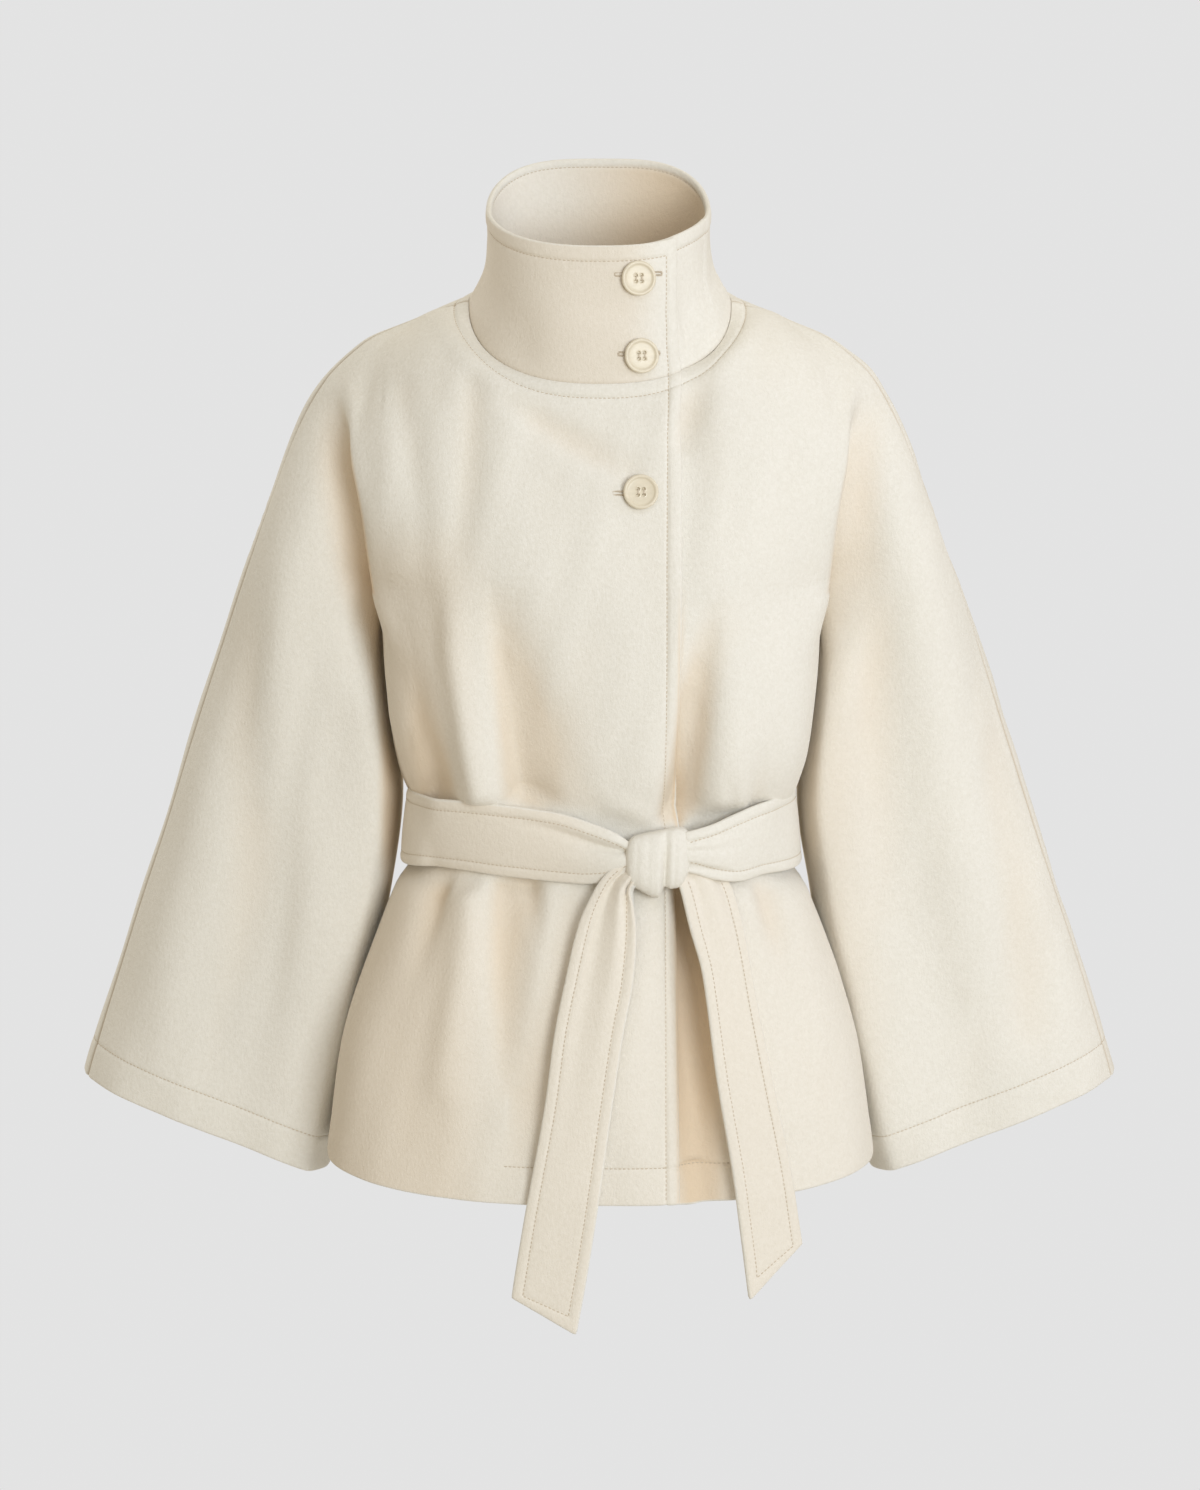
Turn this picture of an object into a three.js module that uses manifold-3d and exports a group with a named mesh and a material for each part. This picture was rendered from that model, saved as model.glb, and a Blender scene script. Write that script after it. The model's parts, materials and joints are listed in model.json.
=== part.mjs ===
// Belted cape jacket, filled out as worn with nobody inside. Millimetres, +Z up, -Y to the front.
// Origin: middle of the neck, level with the two side neck points.
import * as THREE from 'three';
import Module from 'manifold-3d';

const wasm = await Module();
wasm.setup();
const { Manifold } = wasm;

// ---------------------------------------------------------------- sizes
const CLOTH = 2.2;             // wool cloth wall
const COLLAR_WALL = 3.6;       // two layers of cloth pressed together
const BELT_WALL = 4.0;         // belt sewn double
const BELT_CLEARANCE = 1.6;    // air between the belt and the cloth under it
const SEAM_GAP = 0.3;          // air between two sewn pieces
const OVERLAP_EDGE = 57;       // how far the top front passes the centre
const UNDER_STEP = 3.7;        // how far the under front lies behind the top front
const COLLAR_STEP = 4.3;       // the same for the collar's under end
const OVERARM_FRONT = 18;      // overarm seam lies this far forward of the sleeve's outer line
const BUTTON_DIAMETER = 25;
const BUTTON_THICK = 3.4;
const SEW_HOLE_DIAMETER = 2.2;
const SEW_HOLE_SPACING = 4.2;

const ROWS_UPPER = [0, 0.35, 0.7, 1, 1.6, 2.2, 2.8, 3.3, 3.7, 3.9, 4];
const ROWS_LOWER = [4.35, 4.8, 5.3, 5.8, 6.25, 6.65, 7.35, 7.8, 8.5, 9.2, 10];
const ROWS = [...ROWS_UPPER, ...ROWS_LOWER];
const SPLIT_ROW = ROWS_UPPER.length - 1;
const BODY_COLUMNS = 9;
const SLEEVE_COLUMNS = 9;
const OVERLAP_COLUMNS = 3;
const BELT_ROWS = [6.42, 7.28]; // rows that the belt's top and bottom edge follow, 50 mm apart

// ---------------------------------------------------------------- tables
function table(names, rows) {
  const keys = names.split(' ');
  return rows.map((row) => Object.fromEntries(row.map((value, i) => [keys[i], value])));
}

// body rings from the neck (1) past the underarm (4) and the belt (7) to the hem (10)
const BODY = table('v zFront zBack halfWidth front back boxFront boxBack sideShift', [
  [1.0, -92, -12, 131, 105, 88, 2.3, 2.2, 6],
  [2.0, -125, -55, 166, 115, 102, 2.4, 2.3, 8],
  [3.0, -168, -125, 173, 125, 111, 2.6, 2.4, 11],
  [4.0, -215, -215, 164, 131, 112, 2.7, 2.4, 14],
  [5.0, -282, -280, 157, 130, 112, 2.7, 2.2, -20],
  [6.0, -340, -338, 147, 123, 104, 2.6, 2.5, -22],
  [6.6, -370, -368, 134, 113, 93, 2.4, 2.5, -14],
  [7.0, -395, -392, 135, 109, 90, 2.3, 2.3, -12],
  [7.4, -420, -416, 145, 112, 92, 2.3, 2.3, -16],
  [8.0, -455, -448, 160, 122, 104, 2.4, 2.2, -22],
  [9.0, -545, -535, 188, 140, 124, 2.4, 2.1, -30],
  [10.0, -645, -632, 202, 150, 137, 2.4, 2.1, -32],
]);

// height of the side seam below the underarm
const SIDE_SEAM = table('v z', [
  [4, 0], [5, -284], [6, -348], [7, -405], [8, -456], [9, -537], [10, -630],
]);

// sleeve rings from the shoulder to the cuff: outer and inner edge seen from the front
const SLEEVE = table('v xOut zOut xIn zIn middle front back box', [
  [1.0, 131, -16, 30, 0, 4, 46, 44, 2.0],
  [2.0, 175, -36, 70, 0, 6, 56, 52, 2.0],
  [3.0, 213, -76, 118, 0, 9, 60, 56, 2.1],
  [4.0, 256, -180, 164, 0, 14, 58, 56, 2.2],
  [5.0, 282, -256, 156.5, -290, 36, 69, 46, 2.2],
  [6.0, 306, -330, 147.5, -370, 41, 68, 46, 2.35],
  [7.0, 328, -400, 157, -446, 43, 66, 47, 2.5],
  [8.0, 350, -465, 172, -518, 46, 66, 47, 2.5],
  [9.0, 371, -528, 188, -588, 48, 66, 49, 2.35],
  [10.0, 389.5, -586, 203, -655, 49, 66, 50, 2.2],
]);

const NECK = { halfWidth: 96, zFront: -56.5, zBack: 18, zSide: -4, front: 96, back: 72, box: 2.35 };
const NECK_SPLIT = 0.62;       // share of the neckline that runs down into the body

// largest folds on the body: a trough from (xA, zA) to (xB, zB), half breadth, depth
const FOLDS = table('face xA zA xB zB breadth depth', [
  [0, -118, -262, -100, -362, 17, 7],
  [0, -74, -270, -62, -362, 15, 5],
  [0, 82, -300, 64, -368, 15, 8],
  [0, 112, -318, 104, -366, 13, 4],
  [0, -100, -424, -114, -560, 18, 6],
  [0, -66, -424, -52, -560, 16, 4],
  [0, 70, -424, 76, -620, 20, 8],
  [0, 116, -424, 128, -560, 17, 5],
  [1, -84, -300, -76, -362, 17, 6],
  [1, 78, -300, 70, -362, 17, 6],
  [1, -8, -310, -4, -362, 15, 4],
  [1, -78, -424, -92, -580, 20, 6],
  [1, 74, -424, 90, -580, 20, 6],
  [1, 4, -424, 8, -540, 18, 4],
]);

// ---------------------------------------------------------------- small maths
const clamp01 = (x) => Math.min(1, Math.max(0, x));
const smooth = (x) => clamp01(x) ** 2 * (3 - 2 * clamp01(x));
const mix = (a, b, t) => a + (b - a) * t;
const sideShare = (x) => clamp01(x) ** 4;

function along(rows, v, key) {
  const n = rows.length;
  let i = 0;
  while (i < n - 2 && v >= rows[i + 1].v) i += 1;
  const slope = (k) => (rows[k + 1][key] - rows[k][key]) / (rows[k + 1].v - rows[k].v);
  const step = (k) => rows[k + 1].v - rows[k].v;
  const tangent = (k) => {
    if (k === 0) return slope(0);
    if (k === n - 1) return slope(n - 2);
    return (slope(k - 1) * step(k) + slope(k) * step(k - 1)) / (step(k - 1) + step(k));
  };
  const h = step(i);
  const s = (v - rows[i].v) / h;
  return hermite(s, rows[i][key], tangent(i) * h, rows[i + 1][key], tangent(i + 1) * h);
}

function hermite(s, p0, m0, p1, m1) {
  const a = 2 * s ** 3 - 3 * s ** 2 + 1;
  const b = s ** 3 - 2 * s ** 2 + s;
  const c = -2 * s ** 3 + 3 * s ** 2;
  const d = s ** 3 - s ** 2;
  return a * p0 + b * m0 + c * p1 + d * m1;
}

function ringAt(rows, v) {
  const out = {};
  for (const key of Object.keys(rows[0])) out[key] = key === 'v' ? v : along(rows, v, key);
  return out;
}

const bulge = (x, half, depth, box) => depth * (1 - Math.min(1, Math.abs(x / half)) ** box) ** (1 / box);

function lengths(line) {
  const s = [0];
  for (let i = 1; i < line.length; i += 1) s.push(s[i - 1] + line[i].distanceTo(line[i - 1]));
  return s;
}

function pointAt(line, s, at) {
  let i = 1;
  while (i < line.length - 1 && s[i] < at) i += 1;
  const t = (at - s[i - 1]) / Math.max(1e-9, s[i] - s[i - 1]);
  return line[i - 1].clone().lerp(line[i], clamp01(t));
}

function cut(line, from, to, count) {
  const s = lengths(line);
  const out = [];
  for (let i = 0; i <= count; i += 1) out.push(pointAt(line, s, mix(from, to, i / count)));
  return out;
}

// ---------------------------------------------------------------- one row of the shell, wearer's left half
const DENSE = 90;

function underarmHeight() {
  const body = ringAt(BODY, 4);
  const sleeve = ringAt(SLEEVE, 4);
  return body.zFront + (sleeve.zOut - body.zFront) * (body.halfWidth / sleeve.xOut) ** 3;
}

const fromUnderarm = (rows, key) => rows.map((r, i) => ({ v: r.v, z: i ? r[key] : underarmHeight() }));
const sideHeight = (v) => along(fromUnderarm(SIDE_SEAM, 'z'), v, 'z');
const sleeveInnerHeight = (v) => along(fromUnderarm(SLEEVE.slice(3), 'zIn'), v, 'z');
const sleeveInnerX = (v) => along(SLEEVE.slice(3), v, 'xIn');

// Above the underarm body and sleeve are one curve: the two bulges joined by a rounded maximum.
function joinedRow(v, isBack) {
  const b = ringAt(BODY, v);
  const s = ringAt(SLEEVE, v);
  const depth = isBack ? b.back : b.front;
  const box = isBack ? b.boxBack : b.boxFront;
  const z0 = isBack ? b.zBack : b.zFront;
  const sign = isBack ? 1 : -1;
  const power = 2 + clamp01((v - 1) / 3);
  const rounding = mix(3, 6, clamp01((v - 1) / 3));
  const line = [];
  const valley = [];
  for (let i = 0; i <= 2 * DENSE; i += 1) {
    const x = i <= DENSE
      ? b.halfWidth * Math.sin((Math.PI / 2) * (i / DENSE))
      : mix(b.halfWidth, s.xOut, Math.sin((Math.PI / 2) * (i / DENSE - 1)));
    const body = bulge(x, b.halfWidth, depth, box);
    const arm = x < s.xIn ? 0 : bulge(x - (s.xOut + s.xIn) / 2, (s.xOut - s.xIn) / 2, isBack ? s.back : s.front, s.box);
    const y = s.middle * sideShare(x / b.halfWidth) + sign * (body ** rounding + arm ** rounding) ** (1 / rounding);
    line.push(new THREE.Vector3(x, y, z0 + (s.zOut - z0) * (x / s.xOut) ** power));
    valley.push(body > arm);
  }
  const reach = lengths(line);
  const total = reach[reach.length - 1];
  const found = v >= 4 ? reach[DENSE] : reach[Math.max(1, valley.lastIndexOf(true))];
  const split = mix(NECK_SPLIT * total, found, smooth((v - 1) / 1.6));
  return { body: cut(line, 0, split, DENSE), sleeve: cut(line, split, total, DENSE) };
}

// Below the underarm the body and the sleeve are two rings of their own.
function splitRow(v, isBack) {
  const b = ringAt(BODY, v);
  const s = ringAt(SLEEVE, v);
  const sign = isBack ? 1 : -1;
  const z0 = isBack ? b.zBack : b.zFront;
  const zSide = sideHeight(v);
  const zIn = sleeveInnerHeight(v);
  const xIn = sleeveInnerX(v);
  const body = [];
  const sleeve = [];
  const fourX = ringAt(BODY, 4).halfWidth;
  const fourOut = ringAt(SLEEVE, 4).xOut;
  const low = (fourX / fourOut) ** 3;
  for (let i = 0; i <= DENSE; i += 1) {
    const x = b.halfWidth * Math.sin((Math.PI / 2) * (i / DENSE));
    const y = b.sideShift * sideShare(x / b.halfWidth)
      + sign * bulge(x, b.halfWidth, isBack ? b.back : b.front, isBack ? b.boxBack : b.boxFront);
    body.push(new THREE.Vector3(x, y, z0 + (zSide - z0) * (x / b.halfWidth) ** 3));
    const q = (1 - Math.cos(Math.PI * (i / DENSE))) / 2;
    const across = bulge((q - 0.5) * 2, 1, isBack ? s.back : s.front, s.box);
    const curved = ((mix(fourX, fourOut, q) / fourOut) ** 3 - low) / (1 - low);
    const rise = mix(curved, q, smooth(v - 4));
    sleeve.push(new THREE.Vector3(mix(xIn, s.xOut, q), s.middle + sign * across, mix(zIn, s.zOut, rise)));
  }
  return { body: cut(body, 0, lengths(body).at(-1), DENSE), sleeve: cut(sleeve, 0, lengths(sleeve).at(-1), DENSE) };
}

function neckPoint(share, isBack) {
  const angle = share * Math.PI / 2;
  const x = NECK.halfWidth * Math.sin(angle) ** (2 / NECK.box);
  const y = (isBack ? NECK.back : -NECK.front) * Math.max(0, Math.cos(angle)) ** (2 / NECK.box);
  const top = isBack ? NECK.zBack : NECK.zFront;
  const z = NECK.zSide + (top - NECK.zSide) * Math.max(0, Math.cos(angle)) ** (isBack ? 1.6 : 0.85);
  return new THREE.Vector3(x, y, z);
}

function row(v, isBack) {
  if (v >= 4.0001) return splitRow(v, isBack);
  if (v >= 1) return joinedRow(v, isBack);
  const first = joinedRow(1, isBack);
  const next = joinedRow(1.05, isBack);
  const blend = (part, from, to) => first[part].map((end, i) => {
    const start = neckPoint(mix(from, to, i / DENSE), isBack);
    const leave = end.clone().sub(start).multiplyScalar(0.9);
    const arrive = next[part][i].clone().sub(end).multiplyScalar(1 / 0.05);
    const at = (axis) => hermite(v, start[axis], leave[axis], end[axis], arrive[axis]);
    return new THREE.Vector3(at('x'), at('y'), at('z'));
  });
  return { body: blend('body', 0, NECK_SPLIT), sleeve: blend('sleeve', NECK_SPLIT, 1) };
}

// ---------------------------------------------------------------- folds
function foldDepth(p, isBack) {
  let sum = 0;
  for (const fold of FOLDS) {
    if ((fold.face === 1) !== isBack) continue;
    const dx = fold.xB - fold.xA;
    const dz = fold.zB - fold.zA;
    const share = clamp01(((p.x - fold.xA) * dx + (p.z - fold.zA) * dz) / (dx * dx + dz * dz));
    const away = Math.hypot(p.x - fold.xA - share * dx, p.z - fold.zA - share * dz);
    const atBelt = fold.zA > -400 ? 0.35 + 0.65 * share : 1 - 0.6 * share;
    sum += fold.depth * atBelt * Math.exp(-((away / fold.breadth) ** 2));
  }
  return sum;
}

const inward = (p) => new THREE.Vector3(-p.x / 2, -p.y, 0).normalize();

function sunk(p, v, isBack) {
  const inset = along(BODY, Math.max(1, v), 'halfWidth') - Math.abs(p.x);
  return p.clone().addScaledVector(inward(p), foldDepth(p, isBack) * smooth(inset / 18));
}

// ---------------------------------------------------------------- panels
const cache = new Map();

function halfRow(v, isBack) {
  const key = `${v} ${isBack}`;
  if (!cache.has(key)) {
    const front = row(v, false);
    const back = row(v, true);
    const reach = lengths(front.sleeve);
    const total = reach.at(-1);
    const keep = total - OVERARM_FRONT * smooth(0.25 + v / 2);
    const tail = cut(front.sleeve, keep, total, 12).reverse().slice(1);
    const data = {
      front: { body: front.body, sleeve: cut(front.sleeve, 0, keep, DENSE) },
      back: { body: back.body, sleeve: [...back.sleeve, ...tail] },
    };
    cache.set(`${v} false`, data.front);
    cache.set(`${v} true`, data.back);
  }
  return cache.get(key);
}

function bodyPoints(v, isBack, side, edge) {
  const line = halfRow(v, isBack).body;
  const total = lengths(line).at(-1);
  const points = cut(line, 0, total, BODY_COLUMNS);
  if (edge > 0) {
    const s = lengths(line);
    let end = 0;
    while (line[end].x < edge) end += 1;
    const share = (edge - line[end - 1].x) / (line[end].x - line[end - 1].x);
    const stop = mix(s[end - 1], s[end], share);
    const extra = cut(line, 0, stop, OVERLAP_COLUMNS).slice(1).map((p) => p.setX(-p.x));
    points.unshift(...extra.reverse());
  }
  return points.map((p) => p.setX(p.x * side));
}

function sleevePoints(v, isBack, side) {
  const line = halfRow(v, isBack).sleeve;
  return cut(line, 0, lengths(line).at(-1), SLEEVE_COLUMNS).map((p) => p.setX(p.x * side));
}

// A sheet is a list of points and faces. Above the underarm the body and sleeve share their joint.
function newSheet() {
  return { points: [], faces: [], seams: [] };
}

function addHalf(sheet, isBack, side, edge) {
  const flip = (side < 0) !== isBack;
  const bodyIds = [];
  const sleeveIds = [];
  const add = (p) => sheet.points.push(p) - 1;
  ROWS.forEach((v, r) => {
    const body = bodyPoints(v, isBack, side, edge).map((p) => sunk(p, v, isBack));
    const sleeve = sleevePoints(v, isBack, side);
    const ids = body.map(add);
    bodyIds.push(ids);
    const first = r <= SPLIT_ROW ? ids.at(-1) : add(sleeve[0]);
    sleeveIds.push([first, ...sleeve.slice(1).map(add)]);
    sheet.seams.push([sleeveIds[r].at(-1), sleeveIds[r].at(-2)]);
    if (r > SPLIT_ROW) {
      sheet.seams.push([ids.at(-1), ids.at(-2)], [sleeveIds[r][0], sleeveIds[r][1]]);
    }
    if (r === SPLIT_ROW) sheet.underarm = ids.at(-1);
  });
  for (const grid of [bodyIds, sleeveIds]) {
    for (let r = 0; r + 1 < grid.length; r += 1) {
      for (let c = 0; c + 1 < grid[r].length; c += 1) {
        const quad = [grid[r][c], grid[r + 1][c], grid[r + 1][c + 1], grid[r][c + 1]];
        sheet.faces.push(flip ? quad.reverse() : quad);
      }
    }
  }
  return { bodyIds, sleeveIds };
}

function weldedNormals(sheets) {
  const key = (p) => `${Math.round(p.x * 50)} ${Math.round(p.y * 50)} ${Math.round(p.z * 50)}`;
  const sums = new Map();
  for (const sheet of sheets) {
    for (const face of sheet.faces) {
      const [a, b, c, d] = face.map((i) => sheet.points[i]);
      const n = c.clone().sub(a).cross(d.clone().sub(b));
      for (const i of face) {
        const k = key(sheet.points[i]);
        sums.set(k, (sums.get(k) ?? new THREE.Vector3()).add(n));
      }
    }
  }
  return sheets.map((sheet) => sheet.points.map((p) => sums.get(key(p)).clone().normalize()));
}

function openSeams(sheet, isBack) {
  const moves = sheet.seams.map(([id, next]) => {
    const away = sheet.points[next].clone().sub(sheet.points[id]).setLength(SEAM_GAP / 2);
    return [id, away];
  });
  moves.push([sheet.underarm, new THREE.Vector3(0, (isBack ? 1 : -1) * SEAM_GAP / 2, 0)]);
  for (const [id, away] of moves) sheet.points[id].add(away);
}

// Closed wall: the sheet, its copy pushed inward, and a strip along every free edge.
function wallMesh(points, normals, faces, thickness) {
  const n = points.length;
  const inner = points.map((p, i) => p.clone().addScaledVector(normals[i], -thickness));
  const all = [...points, ...inner];
  const index = [];
  const edges = new Map();
  const quad = (a, b, c, d) => {
    const short = all[a].distanceTo(all[c]) <= all[b].distanceTo(all[d]);
    if (short) index.push(a, b, c, a, c, d);
    else index.push(a, b, d, b, c, d);
  };
  for (const face of faces) {
    const [a, b, c, d] = face;
    quad(a, b, c, d);
    quad(d + n, c + n, b + n, a + n);
    face.forEach((from, i) => {
      const to = face[(i + 1) % 4];
      if (edges.has(`${to} ${from}`)) edges.delete(`${to} ${from}`);
      else edges.set(`${from} ${to}`, [from, to]);
    });
  }
  for (const [from, to] of edges.values()) quad(to, from, from + n, to + n);
  return meshFrom(all, index);
}

function meshFrom(points, index) {
  const geometry = new THREE.BufferGeometry();
  geometry.setAttribute('position', new THREE.Float32BufferAttribute(points.flatMap((p) => p.toArray()), 3));
  geometry.setIndex(index);
  geometry.computeVertexNormals();
  return geometry;
}

// ---------------------------------------------------------------- fronts and back
function stepBehind(x, edge, step) {
  return step * (1 - smooth((x - edge - 4) / 28));
}

function frontSheets() {
  const right = newSheet();
  addHalf(right, false, -1, OVERLAP_EDGE);
  const left = newSheet();
  addHalf(left, false, 1, 0);
  return { right, left };
}

// The back is cut in two halves, sewn together down the middle.
function backSheets() {
  return [1, -1].map((side) => {
    const half = newSheet();
    const { bodyIds } = addHalf(half, true, side, 0);
    for (const line of bodyIds) half.seams.push([line[0], line[1]]);
    return half;
  });
}

function pushUnder(sheet, normals, edge, step) {
  sheet.points.forEach((p, i) => {
    if (p.x < edge + 34 && p.y < 0) p.addScaledVector(normals[i], -stepBehind(p.x, edge, step));
  });
}

// ---------------------------------------------------------------- collar
// rows of the collar from the neck seam (0) to the rim (1)
const COLLAR = table('v halfWidth front back box rise', [
  [0.0, 96, 96, 72, 2.35, 0],
  [0.3, 86, 93, 74, 2.35, 0.3],
  [0.65, 84, 88.5, 79, 2.4, 0.65],
  [1.0, 84.5, 85, 84, 2.4, 1],
]);
const RIM = { zFront: 40, zSide: 62, zBack: 93 };

function collarPoint(v, share, isBack) {
  const ring = ringAt(COLLAR, v);
  const angle = share * Math.PI / 2;
  const cosine = Math.max(0, Math.cos(angle));
  const base = neckPoint(share, isBack);
  const x = ring.halfWidth * Math.sin(angle) ** (2 / ring.box);
  const y = (isBack ? ring.back : -ring.front) * cosine ** (2 / ring.box);
  const rim = RIM.zSide + ((isBack ? RIM.zBack : RIM.zFront) - RIM.zSide) * cosine;
  return new THREE.Vector3(x, y, mix(base.z, rim, ring.rise));
}

function neckShares() {
  const body = Array.from({ length: BODY_COLUMNS + 1 }, (_, i) => NECK_SPLIT * i / BODY_COLUMNS);
  const sleeve = Array.from({ length: SLEEVE_COLUMNS }, (_, i) => mix(NECK_SPLIT, 1, (i + 1) / SLEEVE_COLUMNS));
  return [...body, ...sleeve];
}

function shareAtX(x, v) {
  let low = 0;
  let high = 1;
  for (let i = 0; i < 40; i += 1) {
    const middle = (low + high) / 2;
    if (collarPoint(v, middle, false).x < x) low = middle;
    else high = middle;
  }
  return low;
}

function collarSheet() {
  const sheet = newSheet();
  const quarter = neckShares();
  const stations = [];
  for (const part of [1, 2 / 3, 1 / 3]) stations.push({ side: 1, back: false, part });
  for (const share of quarter) stations.push({ side: -1, back: false, share });
  for (const share of quarter.slice(0, -1).reverse()) stations.push({ side: -1, back: true, share });
  for (const share of quarter.slice(1)) stations.push({ side: 1, back: true, share });
  for (const share of quarter.slice(0, -1).reverse()) stations.push({ side: 1, back: false, share, under: true });
  const ids = COLLAR.map(({ v }) => stations.map((station) => {
    const share = station.share ?? shareAtX(OVERLAP_EDGE, v) * station.part;
    const p = collarPoint(v, share, station.back);
    p.x *= station.side;
    if (v === 0) p.add(collarPoint(0.3, share, station.back).setX(0).setY(0).setZ(0)).setZ(p.z + SEAM_GAP);
    return sheet.points.push(p) - 1;
  }));
  for (let r = 0; r + 1 < ids.length; r += 1) {
    for (let c = 0; c + 1 < stations.length; c += 1) {
      sheet.faces.push([ids[r][c], ids[r][c + 1], ids[r + 1][c + 1], ids[r + 1][c]].reverse());
    }
  }
  sheet.under = stations.flatMap((station, c) => (station.under ? ids.map((line) => line[c]) : []));
  return sheet;
}

function collarMesh() {
  const sheet = collarSheet();
  const [normals] = weldedNormals([sheet]);
  for (const id of sheet.under) {
    const p = sheet.points[id];
    p.addScaledVector(normals[id], -stepBehind(p.x, OVERLAP_EDGE, COLLAR_STEP));
  }
  return wallMesh(sheet.points, normals, sheet.faces, COLLAR_WALL);
}

// ---------------------------------------------------------------- front face of the jacket at a place
function frontY(x, z) {
  let low = 1;
  let high = 10;
  const sample = (v) => {
    const line = halfRow(v, false).body;
    const want = Math.abs(x);
    let i = 1;
    while (i < line.length - 1 && line[i].x < want) i += 1;
    return line[i - 1].clone().lerp(line[i], clamp01((want - line[i - 1].x) / (line[i].x - line[i - 1].x)));
  };
  for (let i = 0; i < 14; i += 1) {
    const middle = (low + high) / 2;
    if (sample(middle).z > z) low = middle;
    else high = middle;
  }
  return sample((low + high) / 2).y;
}

// ---------------------------------------------------------------- belt
const KNOT = { x: 42, z: -398, halfWidth: 23, halfHeight: 24.5, back: 10, front: 12 };

function beltMesh() {
  const sheet = newSheet();
  const columns = [];
  const half = (isBack, side) => bodyPoints(7, isBack, side, 0);
  const count = BODY_COLUMNS;
  for (const [isBack, side, order] of [[false, 1, 1], [true, 1, -1], [true, -1, 1], [false, -1, -1]]) {
    for (let i = 0; i < count; i += 1) columns.push({ isBack, side, c: order > 0 ? i : count - i });
  }
  columns.push({ isBack: false, side: -1, c: 0 });
  const place = (v, column) => bodyPoints(v, column.isBack, column.side, 0)[column.c];
  const kept = columns.filter((column) => {
    const p = half(column.isBack, column.side)[column.c];
    return column.isBack || column.side < 0 || p.x > KNOT.x + KNOT.halfWidth + 6;
  });
  const knotSide = (direction, heights) => {
    const x = KNOT.x + direction * (KNOT.halfWidth + 0.4);
    return heights.map((z) => new THREE.Vector3(x, frontY(x, z) - 2.0, z));
  };
  const rails = kept.map((column) => BELT_ROWS.map((v) => place(v, column)));
  rails.unshift(knotSide(1, [-374, -400]));
  rails.push(knotSide(-1, [-382, -410]));
  const ids = rails.map((rail) => rail.map((p) => sheet.points.push(p) - 1));
  for (let c = 0; c + 1 < ids.length; c += 1) {
    sheet.faces.push([ids[c][0], ids[c][1], ids[c + 1][1], ids[c + 1][0]]);
  }
  const [normals] = weldedNormals([sheet]);
  sheet.points.forEach((p, i) => p.addScaledVector(normals[i], BELT_WALL + BELT_CLEARANCE));
  return wallMesh(sheet.points, normals, sheet.faces, BELT_WALL);
}

// The knot is a rounded block whose front is drawn in along two creases.
function knotMesh() {
  const around = 18;
  const across = 14;
  const points = [];
  const index = [];
  const skin = Math.min(...[-20, 0, 20].map((dx) => frontY(KNOT.x + dx, KNOT.z)));
  const power = (value, exponent) => Math.sign(value) * Math.abs(value) ** exponent;
  for (let i = 0; i <= across; i += 1) {
    const u = -1 + (2 * i) / across;
    const end = i === 0 || i === across;
    const crease = Math.exp(-(((u - 0.25) / 0.12) ** 2)) + 0.7 * Math.exp(-(((u - 0.68) / 0.1) ** 2));
    const size = end ? 0.6 : Math.max(0.75, (1 - Math.abs(u) ** 5) ** 0.25) - 0.09 * crease;
    for (let j = 0; j < around; j += 1) {
      const angle = (2 * Math.PI * j) / around;
      const out = power(Math.cos(angle), 0.75) * size;
      const y = skin - 3 - KNOT.back + out * (out > 0 ? KNOT.back : KNOT.front);
      const z = KNOT.z + power(Math.sin(angle), 0.75) * KNOT.halfHeight * size;
      points.push(new THREE.Vector3(KNOT.x + u * KNOT.halfWidth, y, z));
    }
  }
  for (let i = 0; i < across; i += 1) {
    for (let j = 0; j < around; j += 1) {
      const k = (j + 1) % around;
      const [a, b, c, d] = [i * around + j, i * around + k, (i + 1) * around + k, (i + 1) * around + j];
      index.push(a, b, c, a, c, d);
    }
  }
  for (const [i, turn] of [[0, 1], [across, -1]]) {
    const centre = new THREE.Vector3();
    for (let j = 0; j < around; j += 1) centre.add(points[i * around + j]);
    const hub = points.push(centre.divideScalar(around)) - 1;
    for (let j = 0; j < around; j += 1) {
      const k = (j + 1) % around;
      if (turn > 0) index.push(hub, i * around + k, i * around + j);
      else index.push(hub, i * around + j, i * around + k);
    }
  }
  return meshFrom(points, index);
}

// hanging ends: middle line (x, z), half width, and how far the cloth stands off the jacket
const TAIL_LEFT = table('v x z half off', [
  [0, 12.5, -409, 5, 12],
  [1, 7.9, -427, 15, 11],
  [2, 4.5, -450, 20.5, 9],
  [3, -1, -484, 23, 7],
  [4, -8.3, -522, 23, 6],
  [5, -16, -573, 23, 6],
  [6, -27, -645, 23.3, 6],
  [7, -35.5, -688, 23.5, 6],
  [8, -40.3, -723.5, 23.5, 6],
]);
const TAIL_RIGHT = table('v x z half off', [
  [0, 70, -414, 6, 12],
  [1, 78, -429, 13, 10],
  [2, 86, -449, 17.5, 7.5],
  [3, 96, -500, 18, 6],
  [4, 105, -553, 19, 6],
  [5, 116.5, -618, 19.5, 6],
  [6, 123, -660, 19.7, 6],
  [7, 129, -694.5, 19.7, 6],
]);
const HEM_LEVEL = -640;

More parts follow.
